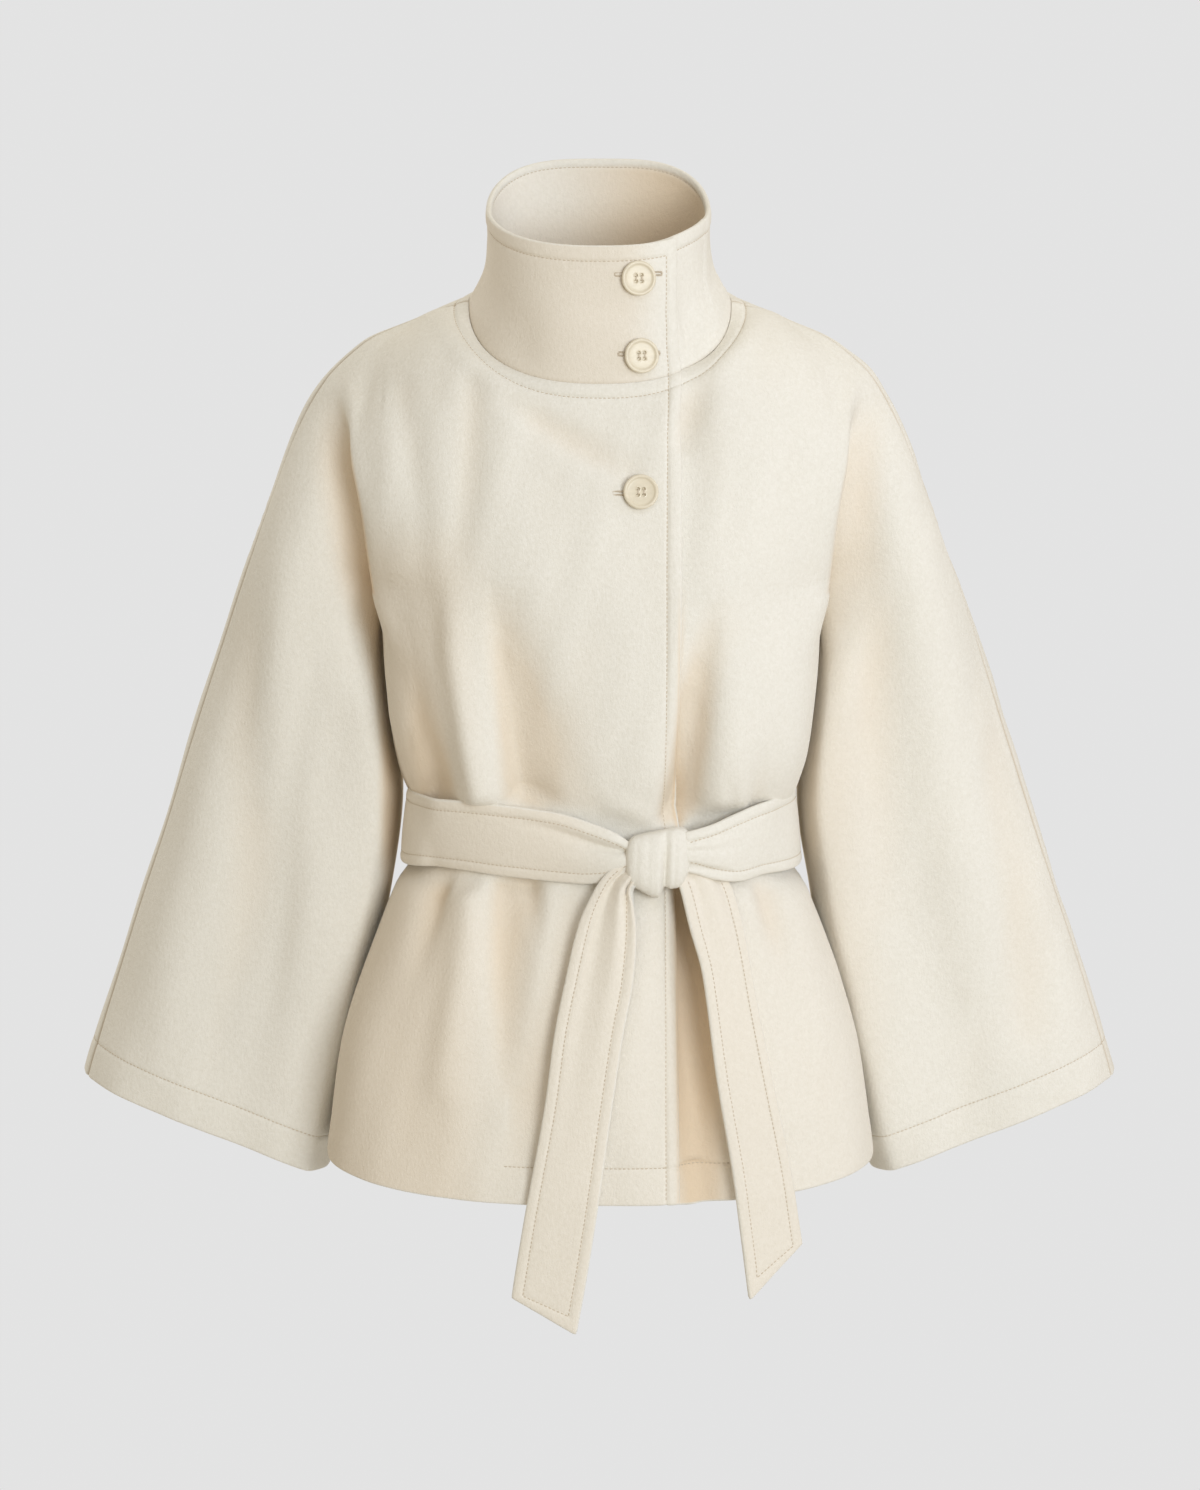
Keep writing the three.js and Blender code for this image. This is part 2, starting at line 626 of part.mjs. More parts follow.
function tailMesh(rows, endSlope) {
  const sheet = newSheet();
  const steps = 16;
  const last = rows.length - 1;
  const ids = [];
  for (let i = 0; i <= steps; i += 1) {
    const at = ringAt(rows, (last * i) / steps);
    const next = ringAt(rows, Math.min(last, (last * i) / steps + 0.05));
    const before = ringAt(rows, Math.max(0, (last * i) / steps - 0.05));
    const down = new THREE.Vector2(next.x - before.x, next.z - before.z).normalize();
    const line = [];
    for (const u of [-1, 0, 1]) {
      const slant = endSlope * u * at.half * smooth((i - steps + 4) / 4);
      const x = at.x - down.y * u * at.half + down.x * slant;
      const z = at.z + down.x * u * at.half + down.y * slant;
      const y = frontY(x, Math.max(z, HEM_LEVEL)) - at.off;
      line.push(sheet.points.push(new THREE.Vector3(x, y, z)) - 1);
    }
    ids.push(line);
  }
  for (let r = 0; r < steps; r += 1) {
    for (let c = 0; c < 2; c += 1) sheet.faces.push([ids[r][c], ids[r + 1][c], ids[r + 1][c + 1], ids[r][c + 1]]);
  }
  const [normals] = weldedNormals([sheet]);
  return wallMesh(sheet.points, normals, sheet.faces, BELT_WALL);
}

// ---------------------------------------------------------------- buttons
const BUTTONS = table('x z', [[26.5, 17.5], [28.5, -37], [29, -133]]);

function collarAt(x, z) {
  let best = new THREE.Vector3();
  let bestGap = 1e9;
  for (let i = 0; i <= 200; i += 1) {
    const v = i / 200;
    const p = collarPoint(v, shareAtX(x, v), false);
    if (Math.abs(p.z - z) < bestGap) {
      bestGap = Math.abs(p.z - z);
      best = p;
    }
  }
  return best;
}

function surfacePoint(x, z) {
  return z > NECK.zFront + 10 ? collarAt(x, z) : new THREE.Vector3(x, frontY(x, z), z);
}

function buttonMesh({ x, z }) {
  const radius = BUTTON_DIAMETER / 2;
  let disc = Manifold.cylinder(BUTTON_THICK, radius, radius, 36, true);
  const dish = Manifold.cylinder(1, radius - 2.6, radius - 1.9, 36).translate([0, 0, BUTTON_THICK / 2 - 0.9]);
  disc = disc.subtract(dish);
  for (const [sx, sy] of [[1, 1], [1, -1], [-1, 1], [-1, -1]]) {
    const hole = Manifold.cylinder(BUTTON_THICK + 2, SEW_HOLE_DIAMETER / 2, SEW_HOLE_DIAMETER / 2, 10, true);
    disc = disc.subtract(hole.translate([sx * SEW_HOLE_SPACING / 2, sy * SEW_HOLE_SPACING / 2, 0]));
  }
  const solid = disc.getMesh();
  const points = [];
  for (let i = 0; i < solid.numVert; i += 1) {
    const at = i * solid.numProp;
    points.push(new THREE.Vector3(solid.vertProperties[at], solid.vertProperties[at + 1], solid.vertProperties[at + 2]));
  }
  const centre = surfacePoint(x, z);
  const acrossX = surfacePoint(x + 6, z).sub(surfacePoint(x - 6, z));
  const acrossZ = surfacePoint(x, z + 6).sub(surfacePoint(x, z - 6));
  const normal = acrossX.cross(acrossZ).normalize();
  const right = new THREE.Vector3(0, 0, 1).cross(normal).negate().normalize();
  const up = normal.clone().cross(right);
  const basis = new THREE.Matrix4().makeBasis(right, up, normal);
  const turn = basis.setPosition(centre.addScaledVector(normal, BUTTON_THICK / 2 + 1.3));
  points.forEach((p) => p.applyMatrix4(turn));
  return meshFrom(points, Array.from(solid.triVerts));
}

// ---------------------------------------------------------------- assembly
const group = new THREE.Group();
const WOOL = { color: 0xeee6d6, roughness: 0.95, metalness: 0 };
const HORN = { color: 0xe4d6bd, roughness: 0.45, metalness: 0 };

function addPart(name, geometry, look) {
  const mesh = new THREE.Mesh(geometry, new THREE.MeshStandardMaterial(look));
  mesh.name = name;
  group.add(mesh);
}

function addShell() {
  const { right, left } = frontSheets();
  const [backLeft, backRight] = backSheets();
  const sheets = { front_right: right, front_left: left, back_left: backLeft, back_right: backRight };
  const normals = weldedNormals(Object.values(sheets));
  pushUnder(left, normals[1], OVERLAP_EDGE, UNDER_STEP);
  Object.entries(sheets).forEach(([name, sheet], i) => {
    openSeams(sheet, name.startsWith('back'));
    addPart(name, wallMesh(sheet.points, normals[i], sheet.faces, CLOTH), WOOL);
  });
}

addShell();
addPart('collar', collarMesh(), WOOL);
addPart('belt_waist', beltMesh(), WOOL);
addPart('belt_knot', knotMesh(), WOOL);
addPart('belt_tail_left', tailMesh(TAIL_LEFT, 0.55), WOOL);
addPart('belt_tail_right', tailMesh(TAIL_RIGHT, -0.75), WOOL);
BUTTONS.forEach((place, i) => addPart(`button_${i + 1}`, buttonMesh(place), HORN));

export default group;
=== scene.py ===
"""Belted cape jacket in cream wool: cloth panels, collar, belt, buttons and stitching."""

import json

import bpy
import numpy as np
from bpy.props import FloatProperty, FloatVectorProperty, PointerProperty
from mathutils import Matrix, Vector

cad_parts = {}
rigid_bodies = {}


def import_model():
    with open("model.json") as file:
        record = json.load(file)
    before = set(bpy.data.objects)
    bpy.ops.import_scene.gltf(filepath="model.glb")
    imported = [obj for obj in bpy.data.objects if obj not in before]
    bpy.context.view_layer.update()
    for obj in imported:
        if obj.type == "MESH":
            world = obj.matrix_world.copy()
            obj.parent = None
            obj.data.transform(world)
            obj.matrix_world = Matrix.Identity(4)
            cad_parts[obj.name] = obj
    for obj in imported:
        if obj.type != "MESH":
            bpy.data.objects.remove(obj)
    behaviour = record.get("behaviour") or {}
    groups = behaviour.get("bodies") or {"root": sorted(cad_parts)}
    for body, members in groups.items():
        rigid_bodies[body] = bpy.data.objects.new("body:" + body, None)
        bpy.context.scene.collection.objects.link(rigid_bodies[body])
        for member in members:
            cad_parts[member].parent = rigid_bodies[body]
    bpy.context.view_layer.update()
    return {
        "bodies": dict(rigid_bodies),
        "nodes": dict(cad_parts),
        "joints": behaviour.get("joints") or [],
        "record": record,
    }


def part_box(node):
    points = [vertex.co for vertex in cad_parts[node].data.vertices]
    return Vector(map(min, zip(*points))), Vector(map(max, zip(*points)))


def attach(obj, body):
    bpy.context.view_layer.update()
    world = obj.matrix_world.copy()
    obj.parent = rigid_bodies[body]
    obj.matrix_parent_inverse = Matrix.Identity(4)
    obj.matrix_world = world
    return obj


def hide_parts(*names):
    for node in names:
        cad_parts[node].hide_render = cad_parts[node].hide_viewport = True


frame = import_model()

bl_info = {
    "name": "Cape jacket",
    "version": (1, 0, 0),
    "blender": (4, 5, 0),
    "location": "3D View > Sidebar > Jacket",
    "description": "Builds a belted wool cape jacket, filled out as worn",
    "category": "Add Mesh",
}

MM = 0.001
BODY_NAME = "root"


# ------------------------------------------------------------------ cut of the jacket, in millimetres
def table(names, rows):
    """Columns by name from a list of rows."""
    return dict(zip(names.split(), np.array(rows, float).T))


def each_row(columns):
    """The rows of a table one by one, as values by name."""
    return [dict(zip(columns, row)) for row in zip(*columns.values())]


# body rings from the neck (1) past the underarm (4) and the belt (7) to the hem (10)
BODY = table("v zFront zBack halfWidth front back boxFront boxBack sideShift", [
    [1.0, -92, -12, 131, 105, 88, 2.3, 2.2, 6],
    [2.0, -125, -55, 166, 115, 102, 2.4, 2.3, 8],
    [3.0, -168, -125, 173, 125, 111, 2.6, 2.4, 11],
    [4.0, -215, -215, 164, 131, 112, 2.7, 2.4, 14],
    [5.0, -282, -280, 157, 130, 112, 2.7, 2.2, -20],
    [6.0, -340, -338, 147, 123, 104, 2.6, 2.5, -22],
    [6.6, -370, -368, 134, 113, 93, 2.4, 2.5, -14],
    [7.0, -395, -392, 135, 109, 90, 2.3, 2.3, -12],
    [7.4, -420, -416, 145, 112, 92, 2.3, 2.3, -16],
    [8.0, -455, -448, 160, 122, 104, 2.4, 2.2, -22],
    [9.0, -545, -535, 188, 140, 124, 2.4, 2.1, -30],
    [10.0, -645, -632, 202, 150, 137, 2.4, 2.1, -32],
])
UNDERARM = 4.0  # v of the underarm, and its row in the two tables
UNDERARM_ROW = 3

# sleeve rings from the shoulder to the cuff: outer and inner edge seen from the front
SLEEVE = table("v xOut zOut xIn zIn middle front back box", [
    [1.0, 131, -16, 30, 0, 4, 46, 44, 2.0],
    [2.0, 175, -36, 70, 0, 6, 56, 52, 2.0],
    [3.0, 213, -76, 118, 0, 9, 60, 56, 2.1],
    [4.0, 256, -180, 164, 0, 14, 58, 56, 2.2],
    [5.0, 282, -256, 156.5, -290, 36, 69, 46, 2.2],
    [6.0, 306, -330, 147.5, -370, 41, 68, 46, 2.35],
    [7.0, 328, -400, 157, -446, 43, 66, 47, 2.5],
    [8.0, 350, -465, 172, -518, 46, 66, 47, 2.5],
    [9.0, 371, -528, 188, -588, 48, 66, 49, 2.35],
    [10.0, 389.5, -586, 203, -655, 49, 66, 50, 2.2],
])

# height of the side seam below the underarm, where the first row is filled in from the rings
SIDE_SEAM = table("v z", [[4, 0], [5, -284], [6, -348], [7, -405], [8, -456], [9, -537], [10, -630]])

NECK = {"halfWidth": 96, "zFront": -56.5, "zBack": 18, "zSide": -4, "front": 96, "back": 72, "box": 2.35}
NECK_SPLIT = 0.62  # share of the neckline that runs down into the body
# the sleeve's front beside the body: v from which it fills out, its box there, how far forward it reaches
FULL_FROM, FULL_BOX, FULL_LIFT = 4.3, 4.6, 16
OVERARM_FRONT = 24  # the overarm seam lies this far forward of the sleeve's outer line
OVERLAP_EDGE = 57  # how far the top front passes the centre
UNDER_STEP = 5.2  # how far the under front lies behind the top front
SEAM_GAP = 0.3  # between the two sides of a seam
SEAM_BREADTH = 1.4  # of the valley a seam makes
STITCH_VALLEY = 0.95  # breadth of the valley a line of stitches makes
TOUCHING = 1e-6  # nearer than this is on the edge itself

# collar rows from the neck seam (0) to the rim (1)
COLLAR = table("v halfWidth front back box rise", [
    [0.0, 96, 96, 72, 2.35, 0],
    [0.3, 86, 93, 74, 2.35, 0.3],
    [0.65, 84, 88.5, 79, 2.4, 0.65],
    [1.0, 84.5, 85, 84, 2.4, 1],
])
RIM = {"zFront": 40, "zSide": 62, "zBack": 93, "boxBack": 3.1}
COLLAR_STEP = 5.2  # how far the collar's under end lies inside the over end

# creases: part 0 body, 1 sleeve, 2 both; face 0 front, 1 back; a curve through three places;
# breadth on its left and right; height at the three places, below 0 for a trough
CREASES = table("part face xA zA xM zM xB zB left right hA hM hB", [
    [2, 0, -206, -70, -190, -140, -176, -232, 16, 10, -1, -3, -2],
    [0, 0, -156, -90, -146, -180, -142, -300, 16, 26, 2, 5, 3],
    [0, 0, -143, -52, -133, -128, -122, -234, 16, 22, -1.5, -2.5, -2],
    [0, 0, -147, -192, -140, -274, -127, -352, 14, 20, 0, -9, -15],
    [0, 0, -110, -176, -101, -266, -88, -352, 11, 12, 0, 8, 9],
    [0, 0, -76, -192, -68, -276, -60, -354, 9, 30, 0, -13, -20],
    [0, 0, -46, -276, -26, -314, -2, -356, 18, 20, -1, -3, -4],
    [0, 0, -24, -300, -4, -336, 12, -368, 14, 14, 0, 2, 4],
    [0, 0, -62, -68, -22, -96, 16, -116, 9, 13, -2.5, -5, -2.5],
    [0, 0, -92, -56, -93, -100, -102, -170, 9, 12, -3, -3.5, -1],
    [0, 0, -120, -80, -118, -130, -114, -200, 12, 12, 1.5, 2, 1],
    [0, 0, -142, -64, -140, -95, -134, -140, 9, 10, -2, -2, -0.5],
    [0, 0, 76, -46, 66, -68, 58, -96, 8, 11, -3, -5, -3],
    [0, 0, 82, -220, 68, -290, 54, -368, 10, 13, -3, -13, -20],
    [0, 0, 92, -340, 94, -354, 95, -366, 6, 6, -1, -3, -3],
    [0, 0, 106, -250, 98, -310, 92, -362, 13, 16, 1, 4, 5],
    [0, 0, 117, -322, 113, -346, 109, -372, 7, 9, -1, -3, -5],
    [2, 0, 204, -66, 190, -146, 176, -232, 10, 16, -1, -3, -2],
    [0, 0, 156, -160, 147, -240, 140, -330, 22, 16, 1, 3, 2],
    [0, 0, -113, -410, -122, -440, -134, -490, 11, 9, -13, -7, -1],
    [0, 0, -91, -420, -99, -470, -113, -560, 14, 17, 7, 9, 4],
    [0, 0, -72, -410, -74, -460, -66, -560, 10, 30, -13, -11, -4],
    [0, 0, -54, -410, -49, -430, -46, -455, 8, 9, -9, -5, -1],
    [0, 0, -44, -424, -40, -470, -46, -540, 16, 14, 3, 4, 1],
    [0, 0, -22, -432, -34, -500, -54, -610, 12, 16, -4, -5, -3],
    [0, 0, 30, -430, 28, -500, 22, -600, 17, 15, 3, 4, 2],
    [0, 0, 65, -420, 69, -500, 75, -640, 13, 20, -21, -22, -12],
    [0, 0, 116, -418, 124, -444, 133, -476, 8, 10, -6, -5, -1],
    [0, 0, 141, -420, 150, -470, 160, -540, 12, 12, 1, 3, 1],
    [1, 0, -212, -60, -232, -190, -248, -360, 18, 24, 1, 4, 2],
    [1, 0, -252, -170, -258, -330, -268, -500, 20, 18, -1, -5, -2],
    [1, 0, -206, -290, -216, -440, -234, -580, 14, 22, 2, 5, 2],
    [1, 0, -292, -330, -306, -440, -330, -570, 18, 22, 0, 3, 2],
    [1, 0, 196, -146, 202, -296, 214, -450, 15, 18, -2, -5, -2],
    [1, 0, 222, -110, 246, -296, 270, -500, 22, 26, 1, 4, 3],
    [1, 0, 282, -270, 304, -400, 322, -540, 20, 22, -1, -4, -3],
    [2, 1, -182, -80, -168, -160, -156, -240, 16, 14, -3, -7, -5],
    [2, 1, 182, -80, 168, -160, 156, -240, 14, 16, -3, -7, -5],
    [0, 1, -96, -262, -86, -312, -76, -360, 14, 15, -2, -6, -9],
    [0, 1, -48, -290, -44, -326, -38, -360, 15, 13, 1, 4, 6],
    [0, 1, -12, -270, -8, -316, -4, -362, 12, 14, -1, -4, -7],
    [0, 1, 44, -280, 36, -320, 32, -362, 12, 15, 1, 4, 5],
    [0, 1, 88, -250, 78, -306, 68, -362, 16, 13, -2, -7, -9],
    [0, 1, -74, -420, -80, -476, -92, -570, 14, 15, -7, -6, -2],
    [0, 1, -28, -420, -30, -480, -36, -590, 16, 15, 4, 5, 2],
    [0, 1, 16, -420, 18, -470, 24, -550, 12, 14, -7, -5, -1],
    [0, 1, 52, -420, 58, -480, 66, -560, 14, 16, 4, 5, 2],
    [0, 1, 98, -420, 106, -490, 118, -600, 15, 14, -8, -6, -3],
    [1, 1, -246, -150, -256, -320, -270, -500, 20, 22, -1, -5, -2],
    [1, 1, -206, -280, -218, -430, -236, -570, 16, 20, 1, 4, 2],
    [1, 1, 240, -140, 262, -330, 284, -520, 22, 20, -2, -5, -2],
    [1, 1, 200, -260, 212, -410, 232, -570, 18, 18, 1, 4, 1],
])
# slow waves of the cloth: length along x, length along z, phase, height
WAVES = table("lengthX lengthZ phase height", [
    [61, 340, 0.4, 0.5],
    [-97, 210, 2.1, 0.45],
    [38, -150, 4.0, 0.22],
    [-27, 93, 1.2, 0.14],
])

DENSE = 200  # chords in each half of a worked-out row
EVEN = np.linspace(0, 1, DENSE + 1)
HALVINGS = 26  # steps of each search by halving
UPPER_ROWS = 66
LOWER_ROWS = 74
BODY_COLUMNS = 84
SLEEVE_COLUMNS = 66
EDGE_STITCH = 9.2  # the step in from a front edge that its stitching follows
EDGE_STEPS = [0, 0.9, 2.2, 4.0, 6.0, 7.6, 8.6, EDGE_STITCH, 9.8, 10.6, 12, 14.5]
NECK_STEPS = [0, 0.8, 2.0, 3.8, 6.0, 8.0, 9.4, 10.2, 10.8, 11.4, 12.6, 15]
HEM_STEPS = [0, 1.0, 2.6, 6.0, 11, 17, 22, 24.2, 25.2, 25.8, 26.4, 27.4, 29.5, 33]
SEAM_STEPS = [0, 0.7, 1.5, 3.0, 5.5]


# ------------------------------------------------------------------ small maths
def smooth(x):
    """Rises from 0 to 1 with level ends: 3 x squared minus 2 x cubed."""
    x = np.clip(x, 0, 1)
    return x * x * (3 - 2 * x)


def mix(a, b, t):
    """From a (t = 0) to b (t = 1) in a straight line."""
    return a + (b - a) * t


def side_share(x):
    """How much of the side's shift a place has: the fourth power of its share of the half width."""
    return np.minimum(1, x) ** 4


def bell(x, breadth):
    """Bell curve of the distance over the breadth."""
    return np.exp(-((x / breadth) ** 2))


def hermite(s, p0, m0, p1, m1):
    """Cubic from p0 to p1 that leaves with slope m0 and arrives with slope m1."""
    t2, t3 = s * s, s * s * s
    return (2 * t3 - 3 * t2 + 1) * p0 + (t3 - 2 * t2 + s) * m0 + (3 * t2 - 2 * t3) * p1 + (t3 - t2) * m1


def along(rows, key, v):
    """Smooth curve through a column: cubics, each slope the weighted mean of the chords beside it."""
    x, y = rows["v"], rows[key]
    step = np.diff(x)
    chord = np.diff(y) / step
    inner = (chord[:-1] * step[1:] + chord[1:] * step[:-1]) / (step[:-1] + step[1:])
    slope = np.concatenate([chord[:1], inner, chord[-1:]])
    i = np.clip(np.searchsorted(x, v, side="right") - 1, 0, len(step) - 1)
    return hermite((v - x[i]) / step[i], y[i], slope[i] * step[i], y[i + 1], slope[i + 1] * step[i])


def rows_at(rows, v):
    """Every column of a table of rows, read at v."""
    return {key: along(rows, key, v) for key in rows if key != "v"}


def unit(vectors):
    """The vectors' directions."""
    return vectors / np.maximum(np.linalg.norm(vectors, axis=-1, keepdims=True), 1e-12)


def halved(low, high, is_short):
    """Halves the range between two arrays again and again: the upper half where its middle is short."""
    for _ in range(HALVINGS):
        middle = (low + high) / 2
        short = is_short(middle)
        low, high = np.where(short, middle, low), np.where(short, high, middle)
    return low


def bulge(x, half, depth, box):
    """Half of a rounded box outline: depth times (1 - |x/half|^box)^(1/box)."""
    return depth * (1 - np.minimum(1, np.abs(x / half)) ** box) ** (1 / box)


def reach_of(line):
    """Distance run along each row of points."""
    step = np.linalg.norm(np.diff(line, axis=-2), axis=-1)
    return np.concatenate([np.zeros(step.shape[:-1] + (1,)), np.cumsum(step, -1)], -1)


def reach_down(grid):
    """Distance run down each column of a grid of points."""
    return reach_of(grid.swapaxes(0, 1)).T


def take_at(line, reach, at):
    """Points on each row's line where its measure has the wanted values."""
    at = np.broadcast_to(at, (line.shape[0], np.shape(at)[-1]))
    after = np.clip((reach[:, :, None] < at[:, None, :]).sum(1), 1, line.shape[1] - 1)
    before = after - 1
    low, high = np.take_along_axis(reach, before, 1), np.take_along_axis(reach, after, 1)
    share = np.clip((at - low) / np.maximum(high - low, 1e-9), 0, 1)[..., None]
    start = np.take_along_axis(line, before[..., None], 1)
    return start + (np.take_along_axis(line, after[..., None], 1) - start) * share


def spaced(total, start, count, end):
    """Distances along a line: close steps at its start and its end, and even ones between."""
    even = np.linspace(0, 1, count + 2)[1:-1]
    first = np.broadcast_to(start, (len(total), len(start)))
    return np.concatenate([first, mix(start[-1], total - end[-1], even), total - np.array(end)[::-1]], 1)


def respaced(line, start, count, end):
    """Each row's line with its points at such distances."""
    reach = reach_of(line)
    return take_at(line, reach, spaced(reach[:, -1:], start, count, end))


# ------------------------------------------------------------------ shell of the jacket, one half
def underarm_height():
    """Height of the underarm: its row climbs to the sleeve's outer edge with the cube of the share."""
    z, half = BODY["zFront"][UNDERARM_ROW], BODY["halfWidth"][UNDERARM_ROW]
    return z + (SLEEVE["zOut"][UNDERARM_ROW] - z) * (half / SLEEVE["xOut"][UNDERARM_ROW]) ** 3


SLEEVE_IN = {key: SLEEVE[source][UNDERARM_ROW:].copy() for key, source in zip("vxz", ("v", "xIn", "zIn"))}
SIDE_SEAM["z"][0] = SLEEVE_IN["z"][0] = underarm_height()


def joined_share(v):
    """How far a row has come from the first ring (0) to the underarm (1)."""
    return np.clip((v - 1) / (UNDERARM - 1), 0, 1)


def joined_rows(v, back):
    """Rows above the underarm: body and sleeve bulges joined as the root of their powers' sum, split at
    the valley between them."""
    v = v[:, None]
    b, s = rows_at(BODY, v), rows_at(SLEEVE, v)
    face = "Back" if back else "Front"
    quarter = np.sin(np.linspace(0, np.pi / 2, DENSE + 1))[None]
    x = np.concatenate([b["halfWidth"] * quarter, mix(b["halfWidth"], s["xOut"], quarter[:, 1:])], 1)
    body = bulge(x, b["halfWidth"], b[face.lower()], b["box" + face])
    arm = bulge(x - (s["xOut"] + s["xIn"]) / 2, (s["xOut"] - s["xIn"]) / 2, s[face.lower()], s["box"])
    arm = np.where(x < s["xIn"], 0, arm)
    share = joined_share(v)
    power = mix(3, 6, share)
    out = (body ** power + arm ** power) ** (1 / power)
    y = s["middle"] * side_share(x / b["halfWidth"]) + (out if back else -out)
    z = b["z" + face] + (s["zOut"] - b["z" + face]) * (x / s["xOut"]) ** (2 + share)
    line = np.stack([x, y, z], -1)
    reach = reach_of(line)
    valley = np.maximum(1, 2 * DENSE - np.argmax((body > arm)[:, ::-1], 1))[:, None]
    found = np.take_along_axis(reach, np.where(v >= UNDERARM, DENSE, valley), 1)
    split = mix(NECK_SPLIT * reach[:, -1:], found, smooth((v - 1) / 1.6))
    return take_at(line, reach, split * EVEN), take_at(line, reach, mix(split, reach[:, -1:], EVEN))


def split_rows(v, back):
    """Rows below the underarm: two rings, the sleeve's filled out at the front beside the body."""
    v = v[:, None]
    b, s = rows_at(BODY, v), rows_at(SLEEVE, v)
    face, sign = ("Back", 1) if back else ("Front", -1)
    x = b["halfWidth"] * np.sin(np.linspace(0, np.pi / 2, DENSE + 1))
    across = x / b["halfWidth"]
    out = bulge(x, b["halfWidth"], b[face.lower()], b["box" + face])
    y = b["sideShift"] * side_share(across) + sign * out
    z = b["z" + face]
    body = np.stack([x, y, z + (along(SIDE_SEAM, "z", v) - z) * across ** 3], -1)
    q = (1 - np.cos(np.linspace(0, np.pi, DENSE + 1)))[None] / 2
    half, out = BODY["halfWidth"][UNDERARM_ROW], SLEEVE["xOut"][UNDERARM_ROW]
    low = (half / out) ** 3
    curved = ((mix(half, out, q) / out) ** 3 - low) / (1 - low)
    full = 0 if back else (1 - smooth(q / 0.5)) * smooth(v - FULL_FROM)
    y = s["middle"] + sign * bulge(2 * q - 1, 1, s[face.lower()], mix(s["box"], FULL_BOX, full))
    y = y - FULL_LIFT * full * smooth(q / 0.09)
    z = mix(along(SLEEVE_IN, "z", v), s["zOut"], mix(curved, q, smooth(v - UNDERARM)))
    sleeve = np.stack([mix(along(SLEEVE_IN, "x", v), s["xOut"], q), y, z], -1)
    return tuple(respaced(line, [0], DENSE - 1, [0]) for line in (body, sleeve))


def ring_quarter(share, half, depth, box):
    """Quarter of a rounded box ring, from its middle (0) to its side (1): x, y and the way's cosine."""
    angle = share * np.pi / 2
    cosine = np.maximum(0, np.cos(angle))
    return half * np.sin(angle) ** (2 / box), depth * cosine ** (2 / box), cosine


def neck_point(share, back):
    """Neckline, from its middle (0) to the side neck point (1): a ring that dips at the front."""
    depth = NECK["back"] if back else -NECK["front"]
    x, y, cosine = ring_quarter(share, NECK["halfWidth"], depth, NECK["box"])
    top, power = (NECK["zBack"], 1.6) if back else (NECK["zFront"], 0.85)
    return np.stack(np.broadcast_arrays(x, y, mix(NECK["zSide"], top, cosine ** power)), -1)


def neck_rows(v, back):
    """Rows between the neckline and the first ring: cubics that arrive with the ring's own slope."""
    first = joined_rows(np.array([1.0]), back)
    after = joined_rows(np.array([1.05]), back)
    made = []
    for part, (start, end) in enumerate([(0, NECK_SPLIT), (NECK_SPLIT, 1)]):
        neck, goal = neck_point(mix(start, end, EVEN), back)[None], first[part]
        slope = (after[part] - goal) / 0.05
        made.append(hermite(v[:, None, None], neck, 0.9 * (goal - neck), goal, slope))
    return made


def shell_rows(v, back):
    """Body and sleeve rows for any v, from the three zones' own formulas."""
    zones = [(v < 1, neck_rows), ((v >= 1) & (v <= UNDERARM), joined_rows), (v > UNDERARM, split_rows)]
    parts = [rows(v[here], back) for here, rows in zones if here.any()]
    return [np.concatenate([part[i] for part in parts]) for i in (0, 1)]


def half_rows(v, back):
    """Rows of one half: the front's sleeve ends at the overarm seam, the back's wraps round to it."""
    body, sleeve = shell_rows(v, False)
    reach = reach_of(sleeve)
    keep = reach[:, -1:] - OVERARM_FRONT * smooth((v - 0.8) / 3.2)[:, None]
    if not back:
        return body, take_at(sleeve, reach, keep * EVEN)
    wrapped = take_at(sleeve, reach, mix(keep, reach[:, -1:], np.linspace(0, 1, 41)))[:, ::-1][:, 1:]
    body, sleeve = shell_rows(v, True)
    return body, np.concatenate([sleeve, wrapped], 1)


def panel_grids(back, side, edge):
    """Body and sleeve grids of one panel, rows from neck to hem, columns from the middle edge outwards;
    with them comes the row where the two part."""
    grids = []
    lower = np.append(UNDERARM + 1e-4, np.linspace(UNDERARM, 10, 181)[1:])
    for v, rows in (
        (np.linspace(0, UNDERARM, 181), (NECK_STEPS, UPPER_ROWS, [0])),
        (lower, ([0], LOWER_ROWS, HEM_STEPS)),
    ):
        body, sleeve = half_rows(v, back)
        if edge > 0:
            lap = take_at(body, body[..., 0], np.linspace(edge, 0, 40)[:-1]) * (-1, 1, 1)
            body = np.concatenate([lap, body], 1)
        body = respaced(body, SEAM_STEPS if back else EDGE_STEPS, BODY_COLUMNS, SEAM_STEPS)
        sleeve = respaced(sleeve, SEAM_STEPS, SLEEVE_COLUMNS, SEAM_STEPS)
        grids.append([respaced(grid.swapaxes(0, 1), *rows).swapaxes(0, 1) for grid in (body, sleeve)])
    split_row = len(grids[0][0]) - 1
    body, sleeve = (np.concatenate([up, low[1:]]) for up, low in zip(*grids))
    inside, outside = reach_of(body), reach_of(sleeve)
    inside = inside[:, -1:] - inside
    body, sleeve = softened(eased(body, split_row, inside), eased(sleeve, split_row, outside), split_row)
    whole = reach_of(sleeve)[:, -1:]
    body = folded(body, inside, inside + whole, back, split_row)
    sleeve = folded(sleeve, outside, whole - outside, back, split_row)
    return [body * (side, 1, 1), sleeve * (side, 1, 1)], split_row


